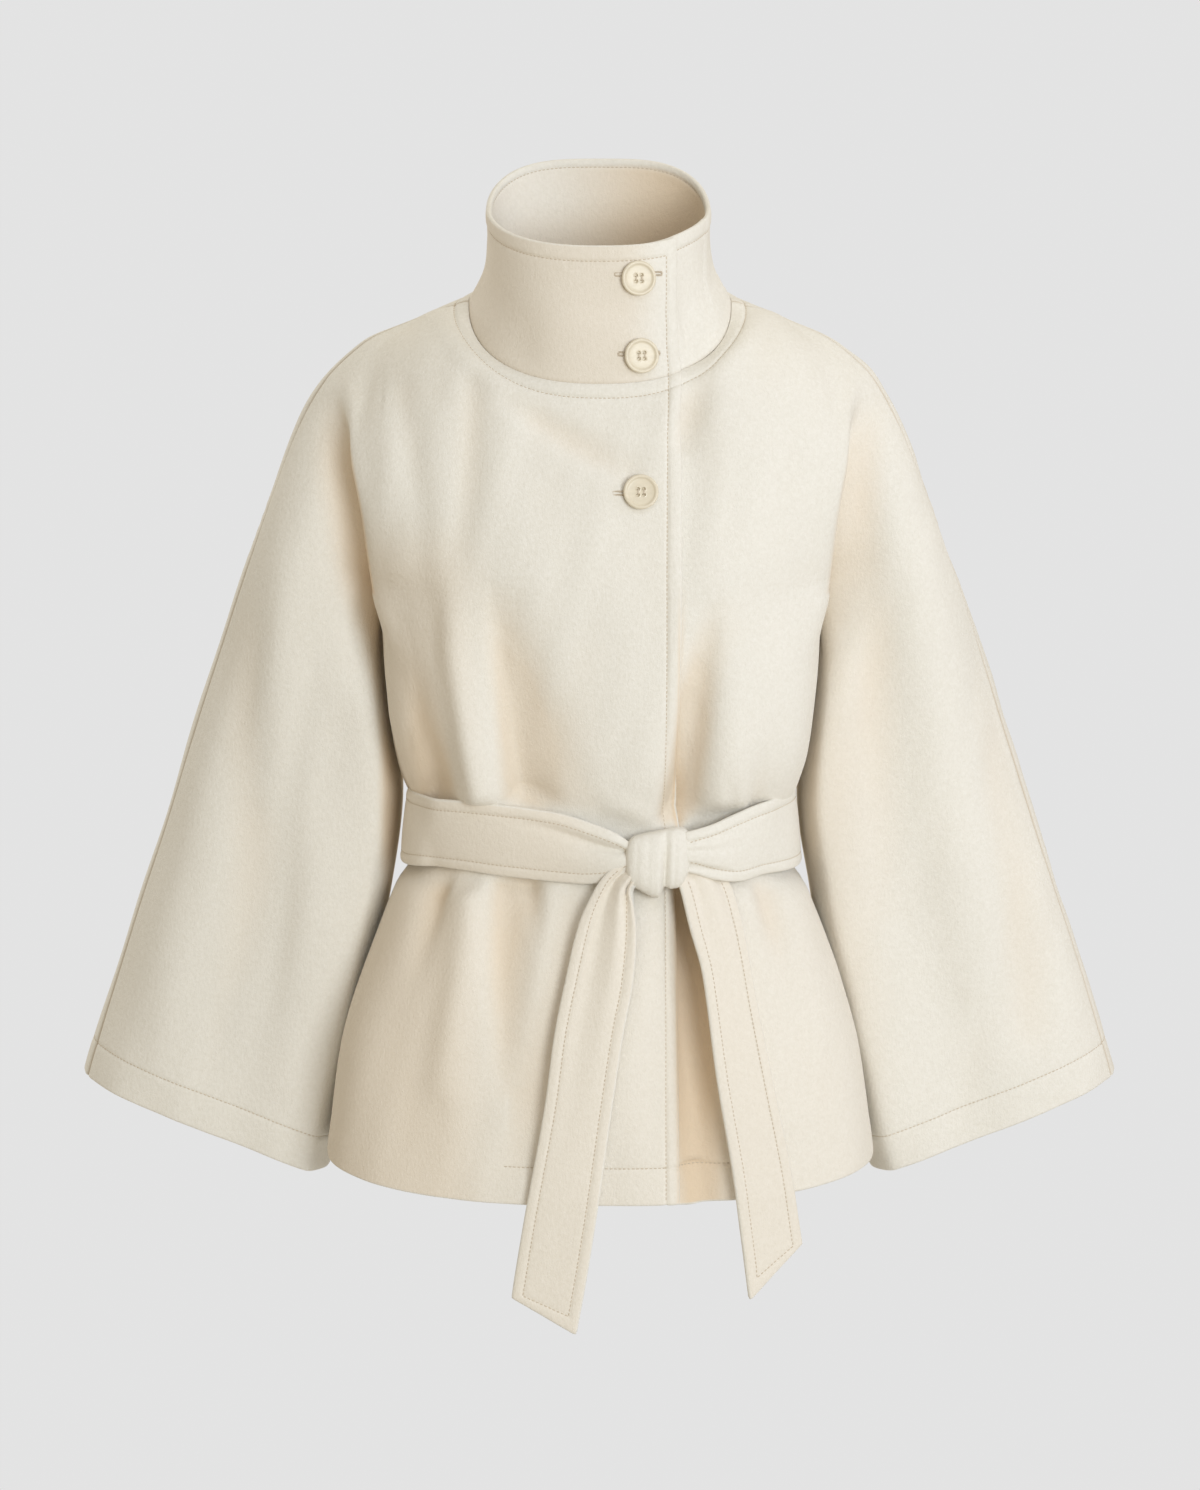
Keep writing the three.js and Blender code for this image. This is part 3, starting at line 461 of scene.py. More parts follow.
# the body's fold over the sleeve: how far out its line lies at each height, how far the body stands
# forward of the sleeve there, and how far the sleeve beside it lies in the fold's warm shade
FOLD_LINE = table("v x lift shade", [
    [-300, 156, 0, 9],
    [-260, 158, 0, 20],
    [-206, 164, 5, 34],
    [-160, 169, 11, 40],
    [-120, 176, 13, 40],
    [-96, 181, 14, 34],
    [-76, 186, 10, 26],
    [-58, 192, 4, 16],
    [-40, 196, 0, 10],
])
FOLD_FOOT = -212  # below this height the fold parts body and sleeve at their seam
FOLD_REACH = 12  # the fold takes in this much cloth each way from its line
EASED_ROWS = 15  # rows each way from the underarm that are smoothed
EASED_MEAN = 11  # rows each way that their mean takes in


def bell_mean(taken, reach, breadth):
    """Mean of what a function takes at each whole step up to a reach both ways, weighted by a bell."""
    steps = np.arange(-reach, reach + 1)
    weight = bell(steps, breadth)
    return sum(taken(d) * w for d, w in zip(steps, weight / weight.sum()))


def smeared(grid, rows, columns):
    """The grid averaged with its neighbours, weights a bell of the steps between them."""
    for axis, reach in ((0, rows), (1, columns)):
        wide = np.pad(grid, [(reach, reach) if a == axis else (0, 0) for a in range(3)], mode="edge")
        here = np.arange(grid.shape[axis]) + reach
        grid = bell_mean(lambda d: np.take(wide, here + d, axis), reach, reach * 0.6)
    return grid


def softened(body, sleeve, split_row):
    """Smooths the shoulder, where body and sleeve are one cloth, away from the seams and the edges."""
    whole = np.concatenate([body[:split_row + 1], sleeve[:split_row + 1, 1:]], 1)
    across, down = reach_of(whole), reach_down(whole)
    free = smooth((down - 12) / 22) * smooth((across - 10) / 24)
    free *= smooth((across[:, -1:] - across - 8) / 24)
    free *= 1 - smooth((-whole[..., 2] - 100) / 55)
    whole = whole + (smeared(smeared(whole, 7, 6), 7, 6) - whole) * free[..., None]
    columns = body.shape[1]
    body[:split_row + 1], sleeve[:split_row + 1] = whole[:, :columns], whole[:, columns - 1:]
    return body, sleeve


def fold_place(points):
    """Distance outward of points from the fold's line at their height."""
    height = np.clip(points[..., 2], -300, -40)
    return np.abs(points[..., 0]) - along(FOLD_LINE, "x", height), height


def folded(grid, reach, to_overarm, back, split_row):
    """Z fold over the sleeve: cloth just inside its line swings out over it, cloth just outside goes in
    behind, both by the distance from the line times a bell of it; the body's side of the line is lifted
    away from the sleeve."""
    place, height = fold_place(grid)
    row = np.arange(len(grid))[:, None] - split_row
    free = mix(1, smooth((reach - 3) / 18), smooth((row + 12) / 12)) * smooth((to_overarm - 3) / 26)
    share = smooth((-height - 60) / 64) * free * (1 - smooth(row / 12))
    away = place * bell(place, FOLD_REACH) * share
    lift = along(FOLD_LINE, "lift", height) * bell(place + 8, np.where(place > -8, 9, 28)) * free
    lift *= smooth((np.abs(grid[..., 0]) - 110) / 30)
    outward, forward = (-0.5, -0.45) if back else (-1.95, 1)
    return grid + np.stack([outward * away, forward * (0.6 * away - lift), 0 * away], -1)


def eased(grid, row, free):
    """Rows near the underarm averaged with their neighbours, so that no line crosses the cloth."""
    near = np.arange(row - EASED_ROWS, row + EASED_ROWS + 1)
    mean = bell_mean(lambda d: grid[near + d], EASED_MEAN, 6.0)
    fade = (1 - smooth(np.abs(near - row) / EASED_ROWS))[:, None] * smooth((free[near] - 1) / 16)
    made = grid.copy()
    made[near] += (mean - grid[near]) * fade[..., None]
    return made


# ------------------------------------------------------------------ front surface at a place
def front_row_point(x, v):
    """Depth and height of the body's front at a sideways place on row v."""
    x = np.abs(x)
    b, s = rows_at(BODY, v), rows_at(SLEEVE, v)
    across = x / b["halfWidth"]
    below = v > UNDERARM
    y = np.where(below, b["sideShift"], s["middle"]) * side_share(across)
    y = y - bulge(x, b["halfWidth"], b["front"], b["boxFront"])
    side = along(SIDE_SEAM, "z", np.maximum(v, UNDERARM))
    z_below = b["zFront"] + (side - b["zFront"]) * np.clip(across, 0, 1) ** 3
    z_above = b["zFront"] + (s["zOut"] - b["zFront"]) * (x / s["xOut"]) ** (2 + joined_share(v))
    return y, np.where(below, z_below, z_above)


def front_y(x, z):
    """Depth of the body's front at (x, z), by halving the range of rows that holds it."""
    x, z = np.broadcast_arrays(np.asarray(x, float), np.asarray(z, float))
    v = halved(np.full(x.shape, 1.0), np.full(x.shape, 10.0), lambda v: front_row_point(x, v)[1] > z)
    return front_row_point(x, v)[0]


def collar_point(v, share, back):
    """Collar at row v: a ring between the neckline and the rim, both highest at the back."""
    c = rows_at(COLLAR, v)
    box = mix(c["box"], RIM["boxBack"], c["rise"]) if back else c["box"]
    x, y, cosine = ring_quarter(share, c["halfWidth"], c["back"] if back else -c["front"], box)
    rim = mix(RIM["zSide"], RIM["zBack"] if back else RIM["zFront"], cosine)
    return np.stack(np.broadcast_arrays(x, y, mix(neck_point(share, back)[..., 2], rim, c["rise"])), -1)


def collar_share(x, v):
    """Share of the front quarter where the collar's row v is x from the middle."""
    half, box = along(COLLAR, "halfWidth", v), along(COLLAR, "box", v)
    return np.arcsin(np.clip(x / half, 0, 1) ** (box / 2)) * 2 / np.pi


def collar_front_y(x, z):
    """Depth of the collar's front at (x, z), found the same way."""
    def front(v):
        return collar_point(v, collar_share(x, v), False)

    v = halved(np.zeros(np.shape(x)), np.ones(np.shape(x)), lambda v: front(v)[..., 2] < z)
    return front(v)[..., 1]


def cloth_front(x, z):
    """Depth of whichever cloth shows at the front there, collar or body."""
    return (collar_front_y if np.mean(z) > NECK["zFront"] + 10 else front_y)(x, z)


# ------------------------------------------------------------------ sheets and their walls
class Sheet:
    """A sheet of cloth: points, four-cornered faces, wall thickness, raised relief, how far its edges
    bulge (below 0 for the usual bulge) and how much painted shade it takes, as fold and seam values."""

    def __init__(self, points, faces, wall):
        self.used = np.unique(faces)
        self.place = np.zeros(len(points), int)
        self.place[self.used] = np.arange(len(self.used))
        self.points = points[self.used]
        self.faces = self.place[faces]
        self.wall = np.full(len(self.used), float(wall))
        self.relief, self.fold, self.seam = np.zeros((3, len(self.used)))
        self.rim = np.full(len(self.used), -1.0)
        self.normals = None

    def face_normals(self, faces=slice(None)):
        corner = self.points[self.faces[faces]]
        return np.cross(corner[:, 2] - corner[:, 0], corner[:, 3] - corner[:, 1])

    def moved(self, distance):
        """Its points, moved outwards."""
        return self.points + self.normals * distance[:, None]


def numbered(grid, start=0):
    """Point numbers of a grid, row by row."""
    return start + np.arange(grid.shape[0] * grid.shape[1]).reshape(grid.shape[:2])


def grid_sheet(grid, wall):
    """A sheet from one grid of points."""
    ids = numbered(grid)
    sheet = Sheet(grid.reshape(-1, 3), grid_faces(ids), millimetres(wall))
    sheet.grid = ids
    shared_normals([sheet])
    return sheet


def grid_faces(ids, flip=False):
    """Four-cornered faces between the rows and columns of a grid of point numbers."""
    quads = np.stack([ids[:-1, :-1], ids[1:, :-1], ids[1:, 1:], ids[:-1, 1:]], -1).reshape(-1, 4)
    return quads[:, ::-1] if flip else quads


def shared_normals(sheets):
    """Unit normals: the sum of the face normals round each place, over every sheet that meets there."""
    points = np.concatenate([s.points for s in sheets])
    starts = np.cumsum([0] + [len(s.points) for s in sheets])
    faces = np.concatenate([s.faces + start for s, start in zip(sheets, starts)])
    normal = np.concatenate([s.face_normals() for s in sheets])
    place = np.unique(np.round(points * 25).astype(int), axis=0, return_inverse=True)[1].reshape(-1)
    total = np.zeros((place.max() + 1, 3))
    for k in range(4):
        np.add.at(total, place[faces[:, k]], normal)
    total = unit(total)
    for sheet, start in zip(sheets, starts):
        sheet.normals = total[place[start:start + len(sheet.points)]]


def edge_pairs(sheet):
    """The sheet's free edges as directed pairs, and at each point on them the way out of the cloth."""
    pairs = np.stack([sheet.faces, np.roll(sheet.faces, -1, 1)], -1).reshape(-1, 2)
    face = np.repeat(np.arange(len(sheet.faces)), 4)
    count = len(sheet.points)
    free = ~np.isin(pairs[:, 0] * count + pairs[:, 1], pairs[:, 1] * count + pairs[:, 0])
    pairs, face = pairs[free], face[free]
    away = unit(np.cross(sheet.points[pairs[:, 1]] - sheet.points[pairs[:, 0]], sheet.face_normals(face)))
    total = np.zeros_like(sheet.points)
    for k in (0, 1):
        np.add.at(total, pairs[:, k], away)
    return pairs, unit(total)


RIM_STEPS = 5


def closed_wall(sheet, inner_relief=0.0):
    """Points and faces of the closed cloth: both its faces, and a half-round strip along every edge."""
    count = len(sheet.points)
    outer, inner = sheet.moved(sheet.relief), sheet.moved(-(sheet.wall + inner_relief))
    pairs, away = edge_pairs(sheet)
    border = np.unique(pairs)
    turn = np.linspace(0, np.pi, RIM_STEPS + 1)[1:-1][:, None]
    middle, half = (outer[border] + inner[border]) / 2, (outer[border] - inner[border]) / 2
    usual = np.linalg.norm(half, axis=1) * 0.8
    out = np.where(sheet.rim[border] < 0, usual, sheet.rim[border])[:, None] * away[border]
    strip = middle[:, None] + half[:, None] * np.cos(turn) + out[:, None] * np.sin(turn)
    place = np.full(count, -1)
    place[border] = np.arange(len(border))
    face = np.arange(count)[:, None]
    steps = np.arange(RIM_STEPS - 1)
    rows = np.concatenate([face, 2 * count + place[:, None] * len(steps) + steps, face + count], 1)
    a, b = rows[pairs[:, 0]], rows[pairs[:, 1]]
    strips = np.stack([b[:, :-1], a[:, :-1], a[:, 1:], b[:, 1:]], -1).reshape(-1, 4)
    faces = np.concatenate([sheet.faces, sheet.faces[:, ::-1] + count, strips])
    return np.concatenate([outer, inner, strip.reshape(-1, 3)]), faces


def make_piece(name, points, faces, *stands_for, kind="wool", **depths):
    """A smooth mesh object from points in millimetres and faces with one number of corners. The painted
    shade of each point, in folds and in seams, is kept as two attributes for the wool."""
    mesh = bpy.data.meshes.new(name)
    mesh.vertices.add(len(points))
    mesh.vertices.foreach_set("co", (points * MM).astype(np.float32).ravel())
    mesh.loops.add(faces.size)
    mesh.loops.foreach_set("vertex_index", faces.astype(np.int32).ravel())
    mesh.polygons.add(len(faces))
    mesh.polygons.foreach_set("loop_start", np.arange(0, faces.size, faces.shape[1], dtype=np.int32))
    mesh.update(calc_edges=True)
    mesh.validate()
    for attribute, values in depths.items():
        deep = np.zeros(len(points), np.float32)
        deep[:len(values)] = values
        mesh.attributes.new(attribute, "FLOAT", "POINT").data.foreach_set("value", deep)
    mesh.shade_smooth()
    piece = bpy.data.objects.new(name, mesh)
    bpy.context.scene.collection.objects.link(piece)
    mesh.materials.append(material_of(kind))
    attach(piece, BODY_NAME)
    if stands_for:
        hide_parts(*stands_for)
    return piece


def capped_tube(grid, ends):
    """Points and triangles of a tube with a fan at each end, from a grid whose columns run round it."""
    ids = numbered(grid)
    after = np.roll(ids, -1, 1)
    quads = np.stack([ids[:-1], ids[1:], after[1:], after[:-1]], -1).reshape(-1, 4)
    hub = np.full(grid.shape[1], ids.size)
    fans = [np.stack([hub, ids[0], after[0]], -1), np.stack([hub + 1, after[-1], ids[-1]], -1)]
    points = np.concatenate([grid.reshape(-1, 3), ends])
    return points, np.concatenate([quads[:, :3], quads[:, [0, 2, 3]], *fans])


# ------------------------------------------------------------------ relief of sewn edges
def groove(distance, at, depth):
    """Narrow valley that the stitches pull into the cloth."""
    return -depth * bell(distance - at, STITCH_VALLEY)


def pad(distance, width, height):
    """Soft roll between an edge and its stitching: a half-round hump over that width."""
    share = np.clip(distance / width, 0, 1)
    return height * 4 * share * (1 - share)


def sewn_edge(distance, at, height, depth=0.8):
    """Relief between an edge and its stitching: the roll and the stitches' valley."""
    return pad(distance, at, height) + groove(distance, at, depth)


def crease_height(points, part, face):
    """Sum of the creases: each one's height at its nearest place times a bell of the distance."""
    x, z = points[:, 0], points[:, 2]
    total = np.zeros(len(points))
    t = np.linspace(0, 1, 33)
    for c in each_row(CREASES):
        if c["face"] != face or c["part"] not in (part, 2):
            continue
        bow = []
        for k in "xz":
            start, middle, end = (c[k + place] for place in "AMB")
            pull = 2 * middle - (start + end) / 2
            bow.append((1 - t) ** 2 * start + 2 * t * (1 - t) * pull + t * t * end)
        height = (1 - t) * (1 - 2 * t) * c["hA"] + 4 * t * (1 - t) * c["hM"] + t * (2 * t - 1) * c["hB"]
        gap = np.hypot(x[:, None] - bow[0], z[:, None] - bow[1])
        near = gap.argmin(1)
        breadth = np.where(x > bow[0][near], c["right"], c["left"])
        total += height[near] * bell(gap.min(1), breadth)
    return total


WAIST_HELD = 2.2  # how far the belt presses the cloth in
# height of the belt's middle at the centre front and back and at the sides, and half its width
BELT_MIDDLE = {"front": -388, "back": -383, "side": -397}
BELT_HALF = 26
KNOT_NARROWS = 14  # how much less of the front it holds beside the knot


def belt_hold(points, back):
    """Where the belt presses the cloth flat, where its nearness keeps the ridges down, and how the
    cloth swells beyond its edges; the first two are 1 behind the belt and fade out away from it."""
    x, z = points[:, 0], points[:, 2]
    middle = BELT_MIDDLE["back" if back else "front"]
    middle = mix(middle, BELT_MIDDLE["side"], smooth((np.abs(x) - 60) / 70))
    half = BELT_HALF - (0 if back else KNOT_NARROWS) * bell(x - 42, 32)
    gap = np.abs(z - middle) - half
    return np.stack([1 - smooth((gap + 5) / 10), 1 - smooth((gap - 1) / 13), bell(gap - 10, 8)])


def shades(sheet):
    """Warm painted shade on the front: on the sleeve beside the body's fold, on the under front beside
    the top front's edge, each fading with the distance from that edge, on the body's flank away from the
    light, over the skirt below the belt, and inside the far sleeve's front."""
    x, _, z = sheet.points.T
    place, height = fold_place(sheet.points)
    outer = np.where(z > FOLD_FOOT, smooth(place / 3), ~sheet.is_body)
    beside = outer * (1 - smooth(place / along(FOLD_LINE, "shade", height))) * smooth((-z - 60) / 60)
    over = x - OVERLAP_EDGE
    under = smooth((over + 3) / 3) * (x < 110) * sheet.is_body
    below = (1 - smooth((over - 14) / 30)) * smooth((-400 - z) / 14)
    below *= 1 - 0.55 * smooth((-z - 480) / 130)
    above = (1 - smooth(over / 8)) * smooth((-190 - z) / 60) * (z > -400)
    flank = 0.3 * smooth((-x - 70) / 50) * smooth((-z - 140) / 60) + 0.13 * smooth((-z - 400) / 60)
    inner = 0.25 * ~sheet.is_body * (x > 0) * (1 - smooth((place - 10) / 60)) * smooth((-z - 200) / 80)
    under = under * np.maximum(0.8 * below, 0.5 * above)
    return mix(0.35, 0.8, x < 0) * beside + under + flank * sheet.is_body + inner


def waves(points):
    """Slow unevenness of hanging cloth: a few long sine waves."""
    x, y, z = points.T
    total = 0
    for w in each_row(WAVES):
        turn = x / w["lengthX"] + z / w["lengthZ"]
        total = total + w["height"] * np.sin(2 * np.pi * turn + w["phase"] + y / 55)
    return total


# ------------------------------------------------------------------ stitches
stitch_lines = []


def note_stitches(group, sheet, ids, start=0.0, end=0.0, inner_relief=None):
    """Keeps a line of topstitching for the stitching operator, cut short at its ends: on the outer
    face, or on the inner one if its relief is given."""
    if inner_relief is None:
        points, normals = sheet.moved(sheet.relief), sheet.normals
    else:
        points, normals = sheet.moved(-(sheet.wall + inner_relief)), -sheet.normals
    stitch_lines.append((group, points[ids], normals[ids], start, end))


def unit_stitch():
    """One stitch along x: a six-sided spindle from -1 to 1 whose ends dive down."""
    turn = np.arange(6) * np.pi / 3
    rings = [(-0.8, 0.7, -0.3), (-0.3, 1.0, 0.0), (0.3, 1.0, 0.0), (0.8, 0.7, -0.3)]
    grid = np.array([[[x, r * np.cos(a), r * np.sin(a) + drop] for a in turn] for x, r, drop in rings])
    return capped_tube(grid, [[-1.0, 0, -1.1], [1.0, 0, -1.1]])


def stitch_copies(frames):
    """Points and faces of one stitch copied to many places. A frame holds places and, for each, the
    stitch's half length, half breadth and half height as vectors."""
    shape, triangles = unit_stitch()
    placed, *axes = (np.concatenate(part)[:, None] for part in zip(*frames))
    for k, axis in enumerate(axes):
        placed = placed + shape[None, :, k, None] * axis
    starts = len(shape) * np.arange(len(placed))[:, None, None]
    return placed.reshape(-1, 3), (triangles[None] + starts).reshape(-1, 3)


def line_frames(line, normal, at, step):
    """Places at distances along a line, the line's direction there and the cloth's normal."""
    reach = reach_of(line[None])
    place, before, after = (take_at(line[None], reach, at[None] + shift)[0] for shift in (0, -step, step))
    return place, unit(after - before), take_at(normal[None], reach, at[None])[0]


def stitch_mesh(lines, pitch, width):
    """Copies of one stitch along each line, every pitch, lying along it on the cloth."""
    frames = []
    for _, line, normal, start, end in lines:
        total = reach_of(line)[-1] - start - end
        count = max(2, int(total / pitch))
        at = start + (np.arange(count) + 0.5) * total / count
        place, ahead, up = line_frames(line, normal, at, 0.5)
        up = unit(up - ahead * (up * ahead).sum(1, keepdims=True))
        across = width / 2 * np.cross(up, ahead)
        frames.append((place + 0.12 * up, pitch * 0.4 * ahead, across, width / 2 * up))
    return stitch_copies(frames)


# ------------------------------------------------------------------ materials
class Nodes:
    """Small helper that adds and links shader nodes of one material."""

    def __init__(self, name):
        self.material = bpy.data.materials.new(name)
        self.material.use_nodes = True
        self.tree = self.material.node_tree
        self.shader = self.tree.nodes["Principled BSDF"]
        self.place = self.add("ShaderNodeTexCoord").outputs["Object"]

    def feed(self, socket, value):
        """Links another node's output into a socket, or sets the socket's own value."""
        if isinstance(value, bpy.types.NodeSocket):
            self.tree.links.new(value, socket)
        else:
            socket.default_value = (*value, 1) if socket.type == "RGBA" else value

    def add(self, kind, **settings):
        """A node with its settings, and with what its named inputs are fed."""
        node = self.tree.nodes.new(kind)
        for key, value in settings.items():
            if hasattr(node, key):
                setattr(node, key, value)
            else:
                self.feed(node.inputs[key.replace("_", " ")], value)
        return node

    def mapped(self, scale, turn=(0, 0, 0)):
        node = self.add("ShaderNodeMapping", Scale=scale, Rotation=turn, Vector=self.place)
        return node.outputs["Vector"]

    def noise(self, scale, detail, roughness=0.5, place=None):
        node = self.add("ShaderNodeTexNoise", Scale=scale, Detail=detail, Roughness=roughness)
        self.feed(node.inputs["Vector"], self.place if place is None else place)
        return node.outputs["Fac"]

    def maths(self, operation, a, b):
        node = self.add("ShaderNodeMath", operation=operation)
        for socket, value in zip(node.inputs, (a, b)):
            self.feed(socket, value)
        return node.outputs[0]

    def ranged(self, value, low, high, to_low, to_high):
        ends = {"From_Min": low, "From_Max": high, "To_Min": to_low, "To_Max": to_high}
        return self.add("ShaderNodeMapRange", Value=value, **ends).outputs["Result"]

    def blend(self, factor, a, b, mode="MIX"):
        node = self.add("ShaderNodeMix", data_type="RGBA", blend_type=mode)
        for place, value in ((0, factor), (6, a), (7, b)):
            self.feed(node.inputs[place], value)
        return node.outputs[2]

    def bump(self, height, strength, distance):
        node = self.add("ShaderNodeBump", Strength=strength, Distance=distance, Height=height)
        return node.outputs["Normal"]

    def surface(self, **values):
        """The material, once its shader's inputs are fed."""
        for key, value in values.items():
            self.feed(self.shader.inputs[key.replace("_", " ")], value)
        return self.material


NAP_TINT = (0.9, 0.891, 0.8685)  # what the cloth's colour is multiplied by between its tufts
FOLD_SHADE_TINT = (0.90, 0.76, 0.61)  # painted warm shade: what the colour is multiplied by in the depth of a fold
SEAM_SHADE_TINT = (0.62, 0.53, 0.42)  # painted shade: what the colour is multiplied by at the bottom of a seam and in the collar's shade


def wool_material(name, base):
    """Brushed melton: matted fibres, a faint slanting nap, soft cloudy colour and a pale sheen; its fold
    and seam attributes paint shade into the colour.
    """
    n = Nodes(name)
    nap = n.noise(1.0, 3.0, 0.6, n.mapped((520, 520, 210), (0.0, 0.62, 0.0)))
    tuft = n.noise(330.0, 4.0, 0.65)
    fibre = n.noise(1150.0, 3.0, 0.7)
    cloud = n.ranged(n.noise(9.0, 2.0), 0.3, 0.7, 0, 1)
    shade = n.blend(cloud, base * 0.985, np.minimum(base * 1.012, 1))
    lit = n.maths("MULTIPLY", n.ranged(tuft, 0.25, 0.75, 0, 1), 0.8)
    nappy = n.blend(lit, n.blend(1.0, shade, NAP_TINT, "MULTIPLY"), shade)
    # painted shade: the fold attribute darkens and warms the colour in creases and other shaded places,
    # the seam attribute darkens it in seam valleys and on the collar
    fold, seam = (n.add("ShaderNodeAttribute", attribute_name=key).outputs["Fac"]
                  for key in ("fold", "seam"))
    colour = n.blend(seam, n.blend(fold, nappy, base * FOLD_SHADE_TINT), base * SEAM_SHADE_TINT)
    height = n.maths("ADD", n.maths("MULTIPLY", tuft, 0.55), n.maths("MULTIPLY", nap, 0.45))
    height = n.maths("ADD", height, n.maths("MULTIPLY", fibre, 0.30))
    return n.surface(
        Base_Color=colour, Normal=n.bump(height, 0.7, 0.0011), Roughness=0.92, Specular_IOR_Level=0.18,
        Sheen_Weight=0.22, Sheen_Roughness=0.45, Sheen_Tint=(1.0, 0.96, 0.88))


def thread_material(name, base):
    """Matt sewing thread with a fine twist."""
    n = Nodes(name)
    twist = n.noise(2600.0, 2.0)
    colour = n.blend(twist, base * 0.9, base)
    return n.surface(Base_Color=colour, Normal=n.bump(twist, 0.4, 0.0002), Roughness=0.75)


def button_material(name, base):
    """Cream button resin, satin, with faint horn-like clouding and a fine turned grain."""
    n = Nodes(name)
    cloud = n.noise(140.0, 4.0, 0.6, n.mapped((1, 1, 2.4), (0.3, 0.5, 0.2)))
    fine = n.noise(900.0, 2.0)
    colour = n.blend(n.ranged(cloud, 0.3, 0.7, 0, 1), base * 0.90, base)
    return n.surface(
        Base_Color=colour, Normal=n.bump(fine, 0.12, 0.0002), Coat_Weight=0.15, Coat_Roughness=0.25,
        Roughness=n.ranged(fine, 0.3, 0.7, 0.34, 0.46))


def material_of(kind):
    """The jacket's materials, each made once from the chosen colours."""
    makers = {"wool": wool_material, "thread": thread_material, "button": button_material}
    colour = np.array(getattr(bpy.context.scene.cape_jacket, f"{kind}_colour"))
    name = f"jacket_{kind}"
    return bpy.data.materials.get(name) or makers[kind](name, colour)


# ------------------------------------------------------------------ settings
def length(name, description, default):
    return FloatProperty(name=name, description=description, default=default, unit="LENGTH")


def colour(name, description, default):
    return FloatVectorProperty(name=name, description=description, default=default, subtype="COLOR")


class JacketSettings(bpy.types.PropertyGroup):
    """Sizes and colours of the jacket."""

    cloth: length("Cloth", "Thickness of the wool cloth", 0.0022)
    edge_build: length("Edge build", "Extra thickness of turned and faced edges", 0.0014)
    edge_stitch: length("Edge stitching", "Distance of the topstitching from the front edge", 0.0092)
    neck_stitch: length("Neck stitching", "Distance of the topstitching below the collar seam", 0.0105)
    hem_depth: length("Hem", "Depth of the turned hem", 0.0255)
    facing_width: length("Facing", "Width of the front facing, over which the hem is topstitched", 0.128)
    collar_wall: length("Collar wall", "Thickness of the double collar", 0.0036)
    belt_wall: length("Belt wall", "Thickness of the double belt", 0.004)
    belt_stitch: length("Belt stitching", "Distance of the topstitching from the belt's edges", 0.0065)
    stitch_pitch: length("Stitch pitch", "Length from one stitch to the next", 0.0032)
    stitch_width: length("Thread", "Thickness of the thread", 0.00075)
    wool_colour: colour("Wool", "Colour of the cloth", (0.885, 0.857, 0.797))
    thread_colour: colour("Thread colour", "Colour of the stitching", (0.66, 0.57, 0.45))
    button_colour: colour("Button", "Colour of the buttons", (0.78, 0.70, 0.55))
    floor_colour: colour("Floor", "Colour of the studio floor", (0.77, 0.77, 0.77))


def millimetres(name):
    """One of the chosen lengths, in millimetres."""
    return getattr(bpy.context.scene.cape_jacket, name) / MM


# ------------------------------------------------------------------ fronts and back
FAR = 1e3  # distance of places that have no such edge or seam
shell = {}


def build_panel(back, side, edge):
    """One panel as a sheet, with its points' distances from front edge, neck, hem and seams."""
    grids, split_row = panel_grids(back, side, edge)
    body, sleeve = grids
    body_ids = numbered(body)
    sleeve_ids = numbered(sleeve, body_ids.size)
    sleeve_ids[:split_row + 1, 0] = body_ids[:split_row + 1, -1]
    faces = np.concatenate([grid_faces(ids, (side < 0) != back) for ids in (body_ids, sleeve_ids)])
    sheet = Sheet(np.concatenate([grid.reshape(-1, 3) for grid in grids]), faces, millimetres("cloth"))
    sheet.grids = sheet.place[body_ids], sheet.place[sleeve_ids]
    sheet.is_body = sheet.used < body_ids.size

    def gathered(of_body, of_sleeve):
        return np.concatenate([of_body.ravel(), of_sleeve.ravel()])[sheet.used]

    across = reach_of(body), reach_of(sleeve)
    down = [reach_down(grid) for grid in grids]
    sheet.from_edge = gathered(across[0], np.full(sleeve.shape[:2], FAR))
    sheet.from_neck = gathered(*down)
    sheet.from_hem = gathered(*(d[-1:] - d for d in down))
    sewn = [np.full(body.shape[:2], FAR), across[1][:, -1:] - across[1]]
    sewn[0][split_row:] = (across[0][:, -1:] - across[0])[split_row:]
    sewn[1][split_row:] = np.minimum(sewn[1], across[1])[split_row:]
    if back:
        sewn[0] = np.minimum(sewn[0], across[0])
    sheet.from_seam = gathered(*sewn)
    return sheet


def finish_panel(sheet, back, side):
    """Adds the seam rolls, the raised edges, painted shade along the seams and the stitching of front
    edge, neck and hems.
    """
    edge_at, neck_at, hem = (millimetres(name) for name in ("edge_stitch", "neck_stitch", "hem_depth"))
    sheet.relief += sewn_edge(sheet.from_neck, neck_at, 0.8)
    turned = smooth((hem + 1.5 - sheet.from_hem) / 2.5)
    built = turned
    sheet.relief += 0.3 * pad(sheet.from_hem, hem, 1.0)
    faced = ~sheet.is_body
    if not back:
        faced = np.where(faced, 1, smooth((millimetres("facing_width") - sheet.from_edge) / 3))
        built = turned + smooth((edge_at + 1.5 - sheet.from_edge) / 2.5) * (1 - turned)
        sheet.relief += sewn_edge(sheet.from_edge, edge_at, 0.6)
    sheet.wall += millimetres("edge_build") * built
    sheet.relief += faced * groove(sheet.from_hem, hem, 0.6)
    sheet.relief += 0.4 * bell(sheet.from_seam - 4.5, 3) - 1.2 * bell(sheet.from_seam, SEAM_BREADTH)
    sheet.fold = np.clip(sheet.fold, 0, 1)
    # painted shade: the colour darkens along the seam valleys
    sheet.seam = 0.8 * bell(sheet.from_seam, SEAM_BREADTH)
    sheet.rim[(sheet.from_seam < TOUCHING) | (sheet.from_neck < TOUCHING)] = 0.1
    note_panel_stitches(sheet, back, side)


